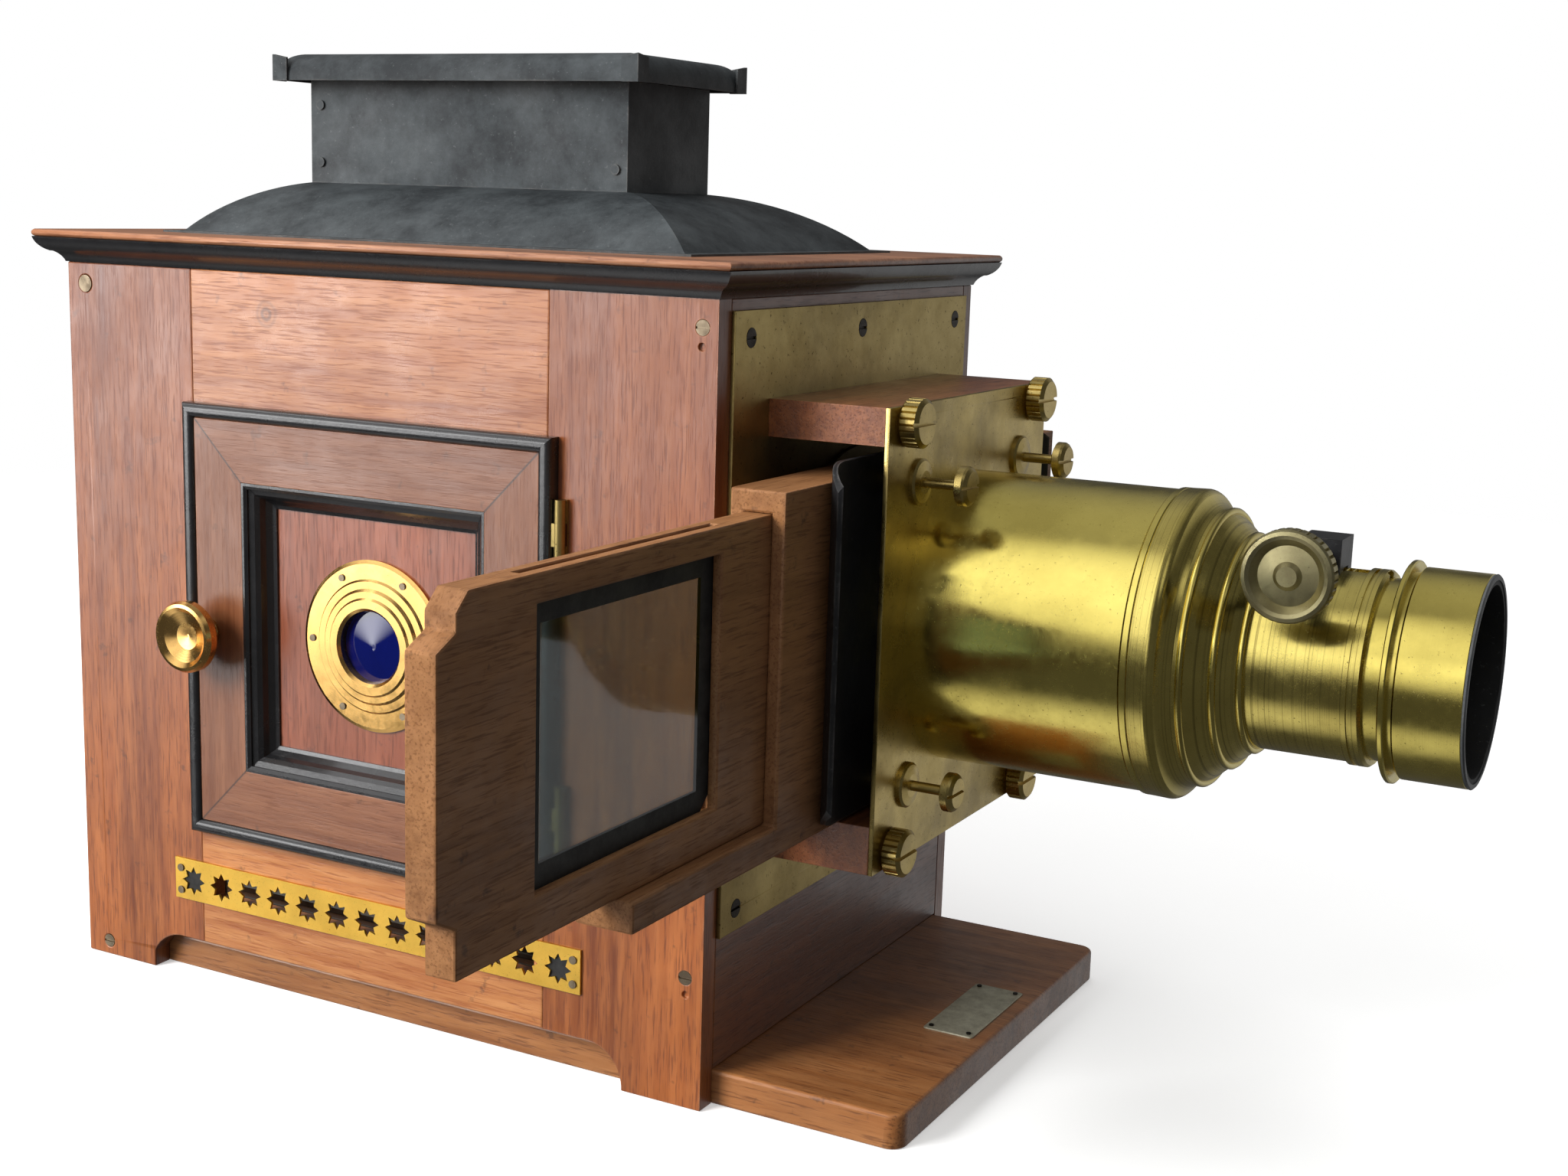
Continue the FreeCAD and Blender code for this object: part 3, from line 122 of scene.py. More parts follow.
class Net:
    """Adds and joins the nodes of one shader tree."""

    def __init__(self, tree: Tree) -> None:
        """Keeps the node tree of a material, world or group."""
        self.tree = tree

    def add(self, kind: str) -> Node:
        """Adds one node of the given kind and returns it."""
        return self.tree.nodes.new(kind)

    def feed(self, target: Socket, value: Value) -> None:
        """Joins a socket to the target, or sets the target's own value.

        Args:
            target: The input socket.
            value: A socket, a number, a vector or a colour.
        """
        if isinstance(value, Socket):
            self.tree.links.new(value, target)
        elif isinstance(value, tuple) and target.type == "RGBA":
            target.default_value = (*value, 1.0)
        else:
            target.default_value = value

    def calc(self, operation: str, *values: Value, vectors: bool = False) -> Socket:
        """Works out one step of arithmetic that gives a number.

        Args:
            operation: The name of the node's operation.
            values: What it works on, in order.
            vectors: Whether these are vectors.

        Returns:
            The socket of the number.
        """
        step = self.add("ShaderNodeVectorMath" if vectors else "ShaderNodeMath")
        step.operation = operation
        for at, value in enumerate(values):
            self.feed(step.inputs[at], value)
        return step.outputs["Value"]

    def axes(self, vector: Socket) -> tuple[Socket, Socket, Socket]:
        """Takes a vector apart.

        Args:
            vector: The vector's socket.

        Returns:
            The sockets of its three parts.
        """
        step = self.add("ShaderNodeSeparateXYZ")
        self.feed(step.inputs[0], vector)
        return tuple(step.outputs)

    def mix(self, share: Value, first: Value, second: Value, kind: Blend = Blend.COLOUR) -> Socket:
        """Blends two colours, vectors or numbers.

        Args:
            share: How much of the second counts.
            first: What counts at share 0.
            second: What counts at share 1.
            kind: What is blended.

        Returns:
            The socket of the blend.
        """
        data_type, first_socket, second_socket, result = kind.value
        step = self.add("ShaderNodeMix")
        step.data_type = data_type
        self.feed(step.inputs[0], share)
        self.feed(step.inputs[first_socket], first)
        self.feed(step.inputs[second_socket], second)
        return step.outputs[result]

    def cover(self, colour: Value, over: Value, mask: Socket, share: float) -> Socket:
        """Lays a colour over another where a mask says so, up to the given share."""
        return self.mix(self.calc("MULTIPLY", mask, share), colour, over)

    def span(self, value: Socket, low: float, high: float, to_low: float = 0.0,
             to_high: float = 1.0) -> Socket:
        """Maps a value from one range to another, held at both ends.

        Args:
            value: The socket to map.
            low: Start of its range.
            high: End of its range.
            to_low: Result at the start.
            to_high: Result at the end.

        Returns:
            The socket of the mapped value.
        """
        step = self.add("ShaderNodeMapRange")
        for at, number in enumerate((value, low, high, to_low, to_high)):
            self.feed(step.inputs[at], number)
        return step.outputs[0]

    def noise(self, vector: Socket, scale: Value, detail: float, rough: float = 0.55) -> Socket:
        """Adds a noise texture.

        Args:
            vector: The place on the surface.
            scale: Scale, a number or a socket.
            detail: Number of finer layers.
            rough: Strength of the finer layers.

        Returns:
            The socket of the noise value.
        """
        step = self.add("ShaderNodeTexNoise")
        self.feed(step.inputs["Vector"], vector)
        self.feed(step.inputs["Scale"], scale)
        step.inputs["Detail"].default_value = detail
        step.inputs["Roughness"].default_value = rough
        return step.outputs[0]

    def stretched(self, vector: Socket, scale: Colour) -> Socket:
        """Scales the place on the surface by a different amount along each axis.

        Args:
            vector: The place on the surface.
            scale: The three amounts.

        Returns:
            The socket of the scaled place.
        """
        step = self.add("ShaderNodeMapping")
        self.feed(step.inputs["Vector"], vector)
        step.inputs["Scale"].default_value = scale
        return step.outputs[0]

    def bump(self, height: Socket, strength: float, distance: float) -> Socket:
        """Turns a height into a normal.

        Args:
            height: The height's socket.
            strength: How strong the relief is.
            distance: Depth of the relief in metres.

        Returns:
            The socket of the normal.
        """
        step = self.add("ShaderNodeBump")
        step.inputs["Strength"].default_value = strength
        step.inputs["Distance"].default_value = distance
        self.feed(step.inputs["Height"], height)
        return step.outputs["Normal"]

    def use(self, group: Tree, vector: Socket, size: float) -> dict[str, Socket]:
        """Places a shared effect.

        Args:
            group: The shared effect.
            vector: The place on the surface.
            size: The value of the effect's second input.

        Returns:
            The effect's masks by name.
        """
        step = self.add("ShaderNodeGroup")
        step.node_tree = group
        self.feed(step.inputs[0], vector)
        step.inputs[1].default_value = size
        return {mask.name: mask for mask in step.outputs}


@dataclass(frozen=True)
class Layer:
    """One noise of a shared effect, which rises from 0 to 1 between two noise values."""

    name: str
    fineness: float
    detail: float
    rough: float
    low: float
    high: float


class Effects:
    """The shader groups that several finishes use."""

    edge_reach: float = 0.0012
    edge_samples: int = 4
    edge_turns: Pair = (0.02, 0.20)
    edge_gaps: Pair = (0.42, 0.62)

    def __init__(self) -> None:
        """Builds the wood grain, the marks of age and the worn edges, each once."""
        self.grain = self._layered("Wood grain", "Fineness", 1.0, (
            Layer("Figure", fineness=1.1, detail=3.0, rough=0.50, low=0.32, high=0.68),
            Layer("Lines", fineness=7.0, detail=5.0, rough=0.65, low=0.36, high=0.66),
            Layer("Pores", fineness=34.0, detail=2.0, rough=0.60, low=0.52, high=0.66)))
        self.age = self._layered("Old surface", "Size", 20.0, (
            Layer("Patches", fineness=1.0, detail=6.0, rough=0.62, low=0.40, high=0.66),
            Layer("Specks", fineness=9.0, detail=3.0, rough=0.70, low=0.63, high=0.72),
            Layer("Haze", fineness=2.6, detail=8.0, rough=0.75, low=0.38, high=0.66)))
        self.edge = self._edge()

    @staticmethod
    def _start(name: str, size: str, usual: float, masks: list[str]) -> tuple[Net, Node, Node]:
        """Starts a group that takes a place and a size and gives masks.

        Args:
            name: The group's name.
            size: The name of the size input.
            usual: The default size.
            masks: Names of the outputs.

        Returns:
            The net, its input node and its output node.
        """
        tree = bpy.data.node_groups.new(name, "ShaderNodeTree")
        tree.interface.new_socket("Vector", in_out="INPUT", socket_type="NodeSocketVector")
        made = tree.interface.new_socket(size, in_out="INPUT", socket_type="NodeSocketFloat")
        made.default_value = usual
        for label in masks:
            tree.interface.new_socket(label, in_out="OUTPUT", socket_type="NodeSocketFloat")
        net = Net(tree)
        return net, net.add("NodeGroupInput"), net.add("NodeGroupOutput")

    def _layered(self, name: str, size: str, usual: float, layers: tuple[Layer, ...]) -> Tree:
        """Builds a group whose masks are noises of different fineness.

        Args:
            name: The group's name.
            size: The name of the size input.
            usual: The default size.
            layers: The noises, each of which is one output.

        Returns:
            The group.
        """
        net, source, out = self._start(name, size, usual, [layer.name for layer in layers])
        for layer in layers:
            scale = net.calc("MULTIPLY", source.outputs[size], layer.fineness)
            value = net.noise(source.outputs["Vector"], scale, layer.detail, layer.rough)
            net.feed(out.inputs[layer.name], net.span(value, layer.low, layer.high))
        return net.tree

    def _edge(self) -> Tree:
        """Builds the mask of the worn edges, broken up by a noise.

        Returns:
            The group.
        """
        net, source, out = self._start("Worn edge", "Break up", 90.0, ["Edge"])
        rounded = net.add("ShaderNodeBevel")
        rounded.samples = self.edge_samples
        rounded.inputs["Radius"].default_value = self.edge_reach
        plain = net.add("ShaderNodeNewGeometry").outputs["Normal"]
        same = net.calc("DOT_PRODUCT", rounded.outputs[0], plain, vectors=True)
        bend = net.span(net.calc("SUBTRACT", 1.0, same), *self.edge_turns)
        gaps = net.noise(source.outputs["Vector"], source.outputs["Break up"], detail=4.0, rough=0.6)
        net.feed(out.inputs["Edge"], net.calc("MULTIPLY", bend, net.span(gaps, *self.edge_gaps)))
        return net.tree


EFFECTS = Effects()


class Surface(Net):
    """The net of one material, with the place on the surface in the object's own frame."""

    def __init__(self, name: str) -> None:
        """Starts a material.

        Args:
            name: The material's name.
        """
        self.material = bpy.data.materials.new(name)
        self.material.use_nodes = True
        super().__init__(self.material.node_tree)
        self.shader = self.tree.nodes["Principled BSDF"]
        self.place = self.add("ShaderNodeTexCoord").outputs["Object"]

    def set(self, label: str, value: Value) -> None:
        """Feeds the shader's input of the given name."""
        self.feed(self.shader.inputs[label], value)


@dataclass(frozen=True)
class Mahogany:
    """Polished red-brown wood with straight grain and darker figure."""

    name: str
    grain: Grain
    dark: Colour = (0.120, 0.027, 0.008)
    middle: Colour = (0.370, 0.102, 0.022)
    light: Colour = (0.540, 0.190, 0.055)
    polish: float = 0.35
    polish_steps: Pair = (-0.06, 0.16)
    pore_rough: float = 0.12
    coat: float = 0.75
    coat_rough: float = 0.34
    lines: float = 0.55
    pores: float = 0.70
    patches: float = 0.30
    specks: float = 0.50
    wear: float = 0.55
    joint: float = 0.85
    speck_tone: Colour = (0.03, 0.012, 0.008)
    wear_tone: Colour = (0.52, 0.27, 0.15)
    joint_tone: Colour = (0.02, 0.008, 0.005)
    knot_tone: Colour = (0.035, 0.016, 0.011)
    # Painted shade: the wood darkens towards the top, up to this share of the dark colour, between these
    # heights in metres.
    top_shade: float = 0.0
    top_shade_heights: Pair = (0.09, 0.25)
    mitre_centre: Optional[float] = None
    mitre_gap: Pair = (0.0002, 0.0007)
    knot: Optional[Pair] = None
    knot_radii: Pair = (0.002, 0.008)
    knot_strengths: Pair = (0.9, 0.0)
    knot_waver: float = 0.002
    knot_rings: float = 2600.0
    knot_gaps: float = 0.25

    def build(self) -> Material:
        """Builds the material.

        Returns:
            The material.
        """
        net = Surface(self.name)
        fibres, joint = self._fibres(net)
        wood = net.use(EFFECTS.grain, fibres, size=1.0)
        age = net.use(EFFECTS.age, net.place, size=14.0)
        worn = net.use(EFFECTS.edge, net.place, size=120.0)
        colour = net.mix(wood["Figure"], self.dark, self.middle)
        colour = net.cover(colour, self.light, wood["Lines"], self.lines)
        colour = net.cover(colour, self.dark, wood["Pores"], self.pores)
        colour = net.cover(colour, self.dark, age["Patches"], self.patches)
        colour = net.cover(colour, self.speck_tone, age["Specks"], self.specks)
        if self.knot:
            colour = self._knotted(net, colour)
        # Painted shade: the colour turns darker towards the top.
        if self.top_shade > 0:
            height = net.axes(net.place)[2]
            colour = net.mix(net.span(height, *self.top_shade_heights, 0.0, self.top_shade), colour, self.dark)
        colour = net.cover(colour, self.wear_tone, worn["Edge"], self.wear)
        if joint is not None:
            colour = net.cover(colour, self.joint_tone, joint, self.joint)
        net.set("Base Color", colour)
        rough = net.span(age["Haze"], 0.0, 1.0, *(self.polish + step for step in self.polish_steps))
        rough = net.calc("ADD", rough, net.calc("MULTIPLY", wood["Pores"], self.pore_rough))
        net.set("Roughness", rough)
        net.set("Coat Weight", self.coat)
        net.set("Coat Roughness", self.coat_rough)
        relief = net.calc("SUBTRACT", wood["Lines"], wood["Pores"])
        net.set("Normal", net.bump(relief, strength=0.18, distance=0.0003))
        return net.material

    def _fibres(self, net: Surface) -> tuple[Socket, Optional[Socket]]:
        """Stretches the place along the fibres, which turn at the joints of a mitred frame.

        Args:
            net: The material's net.

        Returns:
            The stretched place and the mask of the joints, if there are any.
        """
        if self.mitre_centre is None:
            return net.stretched(net.place, self.grain.value), None
        across, _, up = net.axes(net.place)
        side = net.calc("ABSOLUTE", across)
        high = net.calc("ABSOLUTE", net.calc("SUBTRACT", up, self.mitre_centre))
        upright = net.stretched(net.place, Grain.ALONG_Z.value)
        level = net.stretched(net.place, Grain.ALONG_X.value)
        fibres = net.mix(net.calc("GREATER_THAN", high, side), upright, level, Blend.VECTOR)
        gap = net.calc("ABSOLUTE", net.calc("SUBTRACT", high, side))
        return fibres, net.span(gap, *self.mitre_gap, 1.0, 0.0)

    def _knotted(self, net: Surface, colour: Socket) -> Socket:
        """Adds one small knot to the colour.

        Args:
            net: The material's net.
            colour: The colour without the knot.

        Returns:
            The colour with the knot.
        """
        here = net.axes(net.place)
        sides = [net.calc("SUBTRACT", here[axis], middle) for axis, middle in zip((0, 2), self.knot)]
        squares = [net.calc("MULTIPLY", side, side) for side in sides]
        away = net.calc("SQRT", net.calc("ADD", *squares))
        waver = net.calc("MULTIPLY", net.noise(net.place, scale=160.0, detail=2.0), self.knot_waver)
        away = net.calc("ADD", away, waver)
        wave = net.calc("SINE", net.calc("MULTIPLY", away, self.knot_rings))
        ring = net.span(wave, -1.0, 1.0, self.knot_gaps, 1.0)
        inside = net.span(away, *self.knot_radii, *self.knot_strengths)
        return net.mix(net.calc("MULTIPLY", inside, ring), colour, self.knot_tone)


@dataclass(frozen=True)
class BlackWood:
    """Black polished mouldings, rubbed brown at the edges."""

    name: str = "Ebonised moulding"
    black: Colour = (0.010, 0.010, 0.011)
    hazy: Colour = (0.026, 0.025, 0.026)
    rubbed: Colour = (0.10, 0.055, 0.035)
    haze: float = 0.30
    rub: float = 0.12
    rough: Pair = (0.18, 0.34)
    coat: float = 0.5
    coat_rough: float = 0.12

    def build(self) -> Material:
        """Builds the material.

        Returns:
            The material.
        """
        net = Surface(self.name)
        age = net.use(EFFECTS.age, net.place, size=30.0)
        worn = net.use(EFFECTS.edge, net.place, size=150.0)
        colour = net.cover(self.black, self.hazy, age["Haze"], self.haze)
        colour = net.cover(colour, self.rubbed, worn["Edge"], self.rub)
        net.set("Base Color", colour)
        net.set("Roughness", net.span(age["Patches"], 0.0, 1.0, *self.rough))
        net.set("Coat Weight", self.coat)
        net.set("Coat Roughness", self.coat_rough)
        net.set("Normal", net.bump(age["Haze"], strength=0.25, distance=0.0005))
        return net.material


@dataclass(frozen=True)
class BlackTin:
    """Black painted sheet with scuffs, dust and small dents."""

    name: str
    black: Colour = (0.016, 0.019, 0.021)
    scuffed: Colour = (0.105, 0.120, 0.126)
    dust: float = 0.45
    rough: float = 0.48
    rough_step: float = 0.2
    dents: float = 0.25
    specks: float = 0.35
    wear: float = 0.50
    speck_tone: Colour = (0.16, 0.17, 0.17)
    wear_tone: Colour = (0.15, 0.14, 0.13)

    def build(self) -> Material:
        """Builds the material.

        Returns:
            The material.
        """
        net = Surface(self.name)
        broad = net.use(EFFECTS.age, net.place, size=16.0)
        close = net.use(EFFECTS.age, net.place, size=70.0)
        worn = net.use(EFFECTS.edge, net.place, size=110.0)
        colour = net.cover(self.black, self.scuffed, broad["Haze"], self.dust)
        colour = net.cover(colour, self.speck_tone, close["Specks"], self.specks)
        colour = net.cover(colour, self.wear_tone, worn["Edge"], self.wear)
        net.set("Base Color", colour)
        net.set("Roughness", net.span(broad["Patches"], 0.0, 1.0, self.rough, self.rough + self.rough_step))
        relief = net.calc("ADD", broad["Patches"], net.calc("MULTIPLY", close["Haze"], self.dents))
        net.set("Normal", net.bump(relief, strength=0.22, distance=0.0009))
        return net.material


@dataclass(frozen=True)
class Metal:
    """Brass or steel, turned or rolled, with tarnish in patches and specks."""

    name: str
    clean: Colour
    tarnish: Colour
    cover: float
    rough: float
    turned: Turned = Turned.SHEET
    size: float = 24.0
    close_up: float = 4.0
    lathe: float = 0.14
    rolled: float = 0.10
    rings: float = 0.0
    ring_cuts: Pair = (0.52, 0.60)
    rough_step: float = 0.16
    speck_rough: float = 0.2
    speck_depth: float = 0.35

    def build(self) -> Material:
        """Builds the material.

        Returns:
            The material.
        """
        net = Surface(self.name)
        age = net.use(EFFECTS.age, net.place, size=self.size)
        close = net.use(EFFECTS.age, net.place, size=self.size * self.close_up)
        net.set("Metallic", 1.0)
        dark = tuple(self.speck_depth * part for part in self.tarnish)
        colour = net.cover(self.clean, self.tarnish, age["Patches"], self.cover)
        colour = net.cover(colour, dark, close["Specks"], self.cover)
        if self.rings > 0:
            cuts = net.noise(
                net.stretched(net.place, self.turned.value), scale=900.0, detail=4.0, rough=0.6)
            colour = net.mix(net.span(cuts, *self.ring_cuts, 0.0, self.rings), colour, dark)
        net.set("Base Color", colour)
        rough = net.span(age["Haze"], 0.0, 1.0, self.rough, self.rough + self.rough_step)
        rough = net.calc("ADD", rough, net.calc("MULTIPLY", close["Specks"], self.speck_rough))
        net.set("Roughness", rough)
        if self.turned is Turned.SHEET:
            lines, strength = close["Haze"], self.rolled
        else:
            lines = net.noise(
                net.stretched(net.place, self.turned.value), scale=2600.0, detail=3.0, rough=0.7)
            strength = self.lathe
        net.set("Normal", net.bump(lines, strength=strength, distance=0.0002))
        return net.material


@dataclass(frozen=True)
class Glass:
    """Old glass, clear or coloured."""

    name: str
    tint: Colour
    clear: float
    rough: float = 0.03
    rough_step: float = 0.05
    index: float = 1.5
    haze: float = 0.5
    haze_depth: float = 0.82

    def build(self) -> Material:
        """Builds the material.

        Returns:
            The material.
        """
        net = Surface(self.name)
        age = net.use(EFFECTS.age, net.place, size=60.0)
        hazed = tuple(self.haze_depth * part for part in self.tint)
        net.set("Base Color", net.cover(self.tint, hazed, age["Haze"], self.haze))
        net.set("Roughness", net.span(age["Haze"], 0.0, 1.0, self.rough, self.rough + self.rough_step))
        net.set("Transmission Weight", self.clear)
        net.set("IOR", self.index)
        return net.material


@dataclass(frozen=True)
class Plain:
    """Paper or plate with a mottled surface."""

    name: str
    base: Colour
    mottle: Colour
    rough: float
    metallic: float = 0.0
    size: float = 60.0
    rough_step: float = 0.15

    def build(self) -> Material:
        """Builds the material.

        Returns:
            The material.
        """
        net = Surface(self.name)
        age = net.use(EFFECTS.age, net.place, size=self.size)
        net.set("Base Color", net.mix(age["Haze"], self.base, self.mottle))
        net.set("Roughness", net.span(age["Patches"], 0.0, 1.0, self.rough, self.rough + self.rough_step))
        net.set("Metallic", self.metallic)
        net.set("Normal", net.bump(age["Haze"], strength=0.12, distance=0.0003))
        return net.material


class Finishes:
    """Every finish of the lantern, built once."""

    def __init__(self) -> None:
        """Builds the woods, the black paints, the metals, the glasses and the papers."""
        # The stile, the top rail and the door frame darken towards the top: painted shade.
        self.stile = Mahogany("Mahogany stile", Grain.ALONG_Z, top_shade=0.62).build()
        self.rail = Mahogany(
            "Mahogany rail", Grain.ALONG_X, dark=(0.19, 0.050, 0.014), middle=(0.46, 0.160, 0.048),
            light=(0.64, 0.290, 0.110), polish=0.30, knot=(-0.045, 0.262), top_shade=0.30).build()
        # Painted light: a lighter copy of the mahogany for the near bottom rail, standing for the brighter
        # light on the lower part of the wall.
        self.lit_lower_rail = Mahogany(
            "Mahogany lower rail", Grain.ALONG_X, dark=(0.26, 0.070, 0.015), middle=(0.56, 0.210, 0.060),
            light=(0.70, 0.34, 0.13)).build()
        self.base = Mahogany(
            "Mahogany base", Grain.ALONG_X, dark=(0.12, 0.036, 0.009), middle=(0.34, 0.125, 0.034),
            light=(0.52, 0.235, 0.085), polish=0.42).build()
        # Painted shade: a darker copy of the mahogany for the front board and the stage blocks, whose faces
        # turn away from the key lamp.
        self.front = Mahogany(
            "Mahogany front", Grain.ALONG_Y, dark=(0.09, 0.024, 0.008), middle=(0.25, 0.075, 0.024),
            light=(0.38, 0.14, 0.05)).build()
        self.roof = Mahogany(
            "Mahogany roof", Grain.ALONG_X, dark=(0.16, 0.050, 0.020), middle=(0.40, 0.160, 0.070),
            light=(0.56, 0.28, 0.15)).build()
        self.door = Mahogany(
            "Mahogany door frame", Grain.ALONG_Z, dark=(0.13, 0.040, 0.014), middle=(0.19, 0.066, 0.028),
            light=(0.31, 0.130, 0.060), polish=0.38, mitre_centre=0.145, top_shade=0.50).build()
        self.panel = Mahogany(
            "Mahogany door panel", Grain.ALONG_Z, dark=(0.11, 0.026, 0.010), middle=(0.25, 0.060, 0.024),
            light=(0.36, 0.11, 0.05)).build()
        self.carrier = Mahogany(
            "Carrier wood", Grain.ALONG_Y, dark=(0.15, 0.060, 0.020), middle=(0.32, 0.143, 0.052),
            light=(0.44, 0.210, 0.085), polish=0.58, coat=0.1).build()
        self.black_wood = BlackWood().build()
        self.black_tin = BlackTin("Black painted tin").build()
        self.black_plate = BlackTin(
            "Black pressure plate", (0.008, 0.008, 0.009), (0.035, 0.036, 0.038), dust=0.3,
            rough=0.36).build()
        self.dark_inside = BlackTin(
            "Blackened inside", (0.006, 0.006, 0.006), (0.02, 0.02, 0.02), dust=0.3, rough=0.6).build()
        self.tube = Metal(
            "Lacquered tube brass", (0.80, 0.66, 0.17), (0.46, 0.36, 0.075), cover=0.45, rough=0.13,
            turned=Turned.ABOUT_X, lathe=0.05).build()
        self.barrel = Metal(
            "Turned barrel brass", (0.78, 0.64, 0.18), (0.44, 0.34, 0.08), cover=0.5, rough=0.15,
            turned=Turned.ABOUT_X, lathe=0.12, rings=0.55).build()
        self.knob = Metal(
            "Dull knob brass", (0.46, 0.41, 0.22), (0.24, 0.20, 0.10), cover=0.7, rough=0.36,
            size=60.0).build()
        self.rim = BlackTin(
            "Grey hood rim", (0.040, 0.044, 0.046), (0.11, 0.115, 0.12), dust=0.5, rough=0.40).build()
        self.stage = Metal(
            "Stage plate brass", (0.62, 0.47, 0.16), (0.27, 0.20, 0.075), cover=0.8, rough=0.24).build()
        self.old_plate = Metal(
            "Tarnished plate brass", (0.46, 0.35, 0.13), (0.20, 0.145, 0.055), cover=0.80, rough=0.38,
            size=18.0).build()
        self.gold = Metal(
            "Bright gilt brass", (0.86, 0.52, 0.17), (0.45, 0.25, 0.08), cover=0.35, rough=0.14,
            turned=Turned.ABOUT_Y, size=50.0).build()
        self.strip = Metal(
            "Vent strip brass", (0.95, 0.60, 0.11), (0.55, 0.33, 0.06), cover=0.40, rough=0.44,
            size=40.0).build()
        self.screw = Metal(
            "Old screw metal", (0.36, 0.29, 0.20), (0.12, 0.09, 0.06), cover=0.8, rough=0.38,
            size=90.0).build()
        self.black_screw = Metal(
            "Black screw metal", (0.055, 0.048, 0.040), (0.02, 0.017, 0.014), cover=0.7, rough=0.42,
            size=90.0).build()
        self.bare_tin = Metal(
            "Bare tin", (0.50, 0.48, 0.44), (0.18, 0.16, 0.14), cover=0.7, rough=0.36).build()
        self.clear = Glass("Lens glass", (0.92, 0.97, 0.94), clear=1.0).build()
        self.pane = Glass("Slide glass", (0.20, 0.28, 0.28), clear=1.0, rough=0.02).build()
        self.blue = Glass("Blue glass", (0.002, 0.006, 0.11), clear=0.30, rough=0.02).build()
        self.paper = Plain(
            "Black binding paper", (0.010, 0.010, 0.010), (0.032, 0.031, 0.030), rough=0.62).build()
        self.plate = Plain(
            "Pale bare plate", (0.60, 0.58, 0.44), (0.36, 0.33, 0.24), rough=0.34, metallic=0.55,
            size=70.0).build()


def dress(finish: Material, *nodes: str) -> None:
    """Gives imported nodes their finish.

    Args:
        finish: The material.
        nodes: The names of the nodes.
    """
    for node in nodes:
        mesh = NODES[node].data
        mesh.materials.clear()
        mesh.materials.append(finish)
        LOG.info("dressed %s in %s", node, finish.name)


def eased(node: str, finish: Material, width: float) -> None:
    """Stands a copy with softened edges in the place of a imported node.

    Args:
        node: The node's name.
        finish: The material.
        width: How far the edges are softened, in metres.
    """
    source = NODES[node]
    work = bmesh.new()
    work.from_mesh(source.data)
    bmesh.ops.remove_doubles(work, verts=work.verts, dist=SAME_PLACE)
    bmesh.ops.dissolve_limit(
        work, angle_limit=math.radians(FLAT_TURN), verts=work.verts, edges=work.edges,
        use_dissolve_boundaries=False)
    mesh = bpy.data.meshes.new(node + "_eased")
    work.to_mesh(mesh)
    work.free()
    copy = bpy.data.objects.new(node + "_eased", mesh)
    bpy.context.scene.collection.objects.link(copy)
    soften = copy.modifiers.new("Soft edges", "BEVEL")
    soften.width = width
    soften.segments = EDGE_FACETS
    soften.limit_method = "ANGLE"
    soften.angle_limit = math.radians(SHARP_TURN)
    made = bpy.data.meshes.new_from_object(copy.evaluated_get(bpy.context.evaluated_depsgraph_get()))
    copy.modifiers.clear()
    copy.data = made
    made.materials.clear()
    made.materials.append(finish)
    shade(copy, EASED_TURN, NARROW_FACE)
    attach(copy, source["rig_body"])
    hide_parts(node)
    LOG.info("eased %s in %s", node, finish.name)


def shade(piece: bpy.types.Object, angle: float, narrow: float = math.inf) -> None:
    """Smooths the shading of a mesh up to a given angle between narrow faces.

    Args:
        piece: The object.
        angle: The largest smoothed angle in degrees.
        narrow: Faces of this width or more, in metres, stay flat.
    """
    work = bmesh.new()
    work.from_mesh(piece.data)
    limit = math.radians(angle)
    slim = {}
    for face in work.faces:
        face.smooth = True
        slim[face.index] = face.calc_area() / max(edge.calc_length() for edge in face.edges) < narrow
    for edge in work.edges:
        both = len(edge.link_faces) == 2 and all(slim[face.index] for face in edge.link_faces)
        edge.smooth = both and edge.calc_face_angle(math.pi) < limit
    work.to_mesh(piece.data)
    work.free()


def band(work: Drawing, first: Ring, second: Ring) -> None:
    """Joins two rings of corners by a band of faces.

    Args:
        work: The mesh to draw into.
        first: Corners of one ring, in order.
        second: Corners of the other ring, in the same order.
    """
    for at in range(len(first)):
        after = (at + 1) % len(first)
        work.faces.new((first[at], first[after], second[after], second[at]))


def closed(work: Drawing, first: Ring, second: Ring) -> None:
    """Makes a solid between two rings of corners.

    Args:
        work: The mesh to draw into.
        first: Corners of one end, in order.
        second: Corners of the other end, likewise.
    """
    work.faces.new(first)
    work.faces.new(second)
    band(work, first, second)


def piece_from(name: str, work: Drawing, finish: Material, body: str,
               angle: float = 40.0) -> bpy.types.Object:
    """Makes an object of a drawn mesh and lets it ride on a body.

    Args:
        name: The new object's name.
        work: The drawn mesh.
        finish: The material.
        body: The body it rides on.
        angle: The largest smoothed angle in degrees.

    Returns:
        The new object.
    """
    bmesh.ops.recalc_face_normals(work, faces=work.faces)
    mesh = bpy.data.meshes.new(name)
    work.to_mesh(mesh)
    work.free()
    mesh.materials.append(finish)
    made = bpy.data.objects.new(name, mesh)
    bpy.context.scene.collection.objects.link(made)
    shade(made, angle)
    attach(made, body)
    LOG.info("added %s", name)
    return made


def turned(name: str, outline: list[Pair], centre: Vector, finish: Material, body: str) -> None:
    """Turns a closed outline about a line along X through a centre.

    Args:
        name: The new object's name.
        outline: Places along X and distances from the line, in order round the section.
        centre: A point on the line.
        finish: The material.
        body: The body it rides on.
    """
    work = bmesh.new()
    rings = []
    for step in range(ROUND_FACETS):
        angle = 2 * math.pi * step / ROUND_FACETS
        across, up = math.cos(angle), math.sin(angle)
        rings.append([
            work.verts.new((centre.x + along, centre.y + away * across, centre.z + away * up))
            for along, away in outline])
    for step in range(ROUND_FACETS):
        band(work, rings[step], rings[(step + 1) % ROUND_FACETS])
    piece_from(name, work, finish, body)


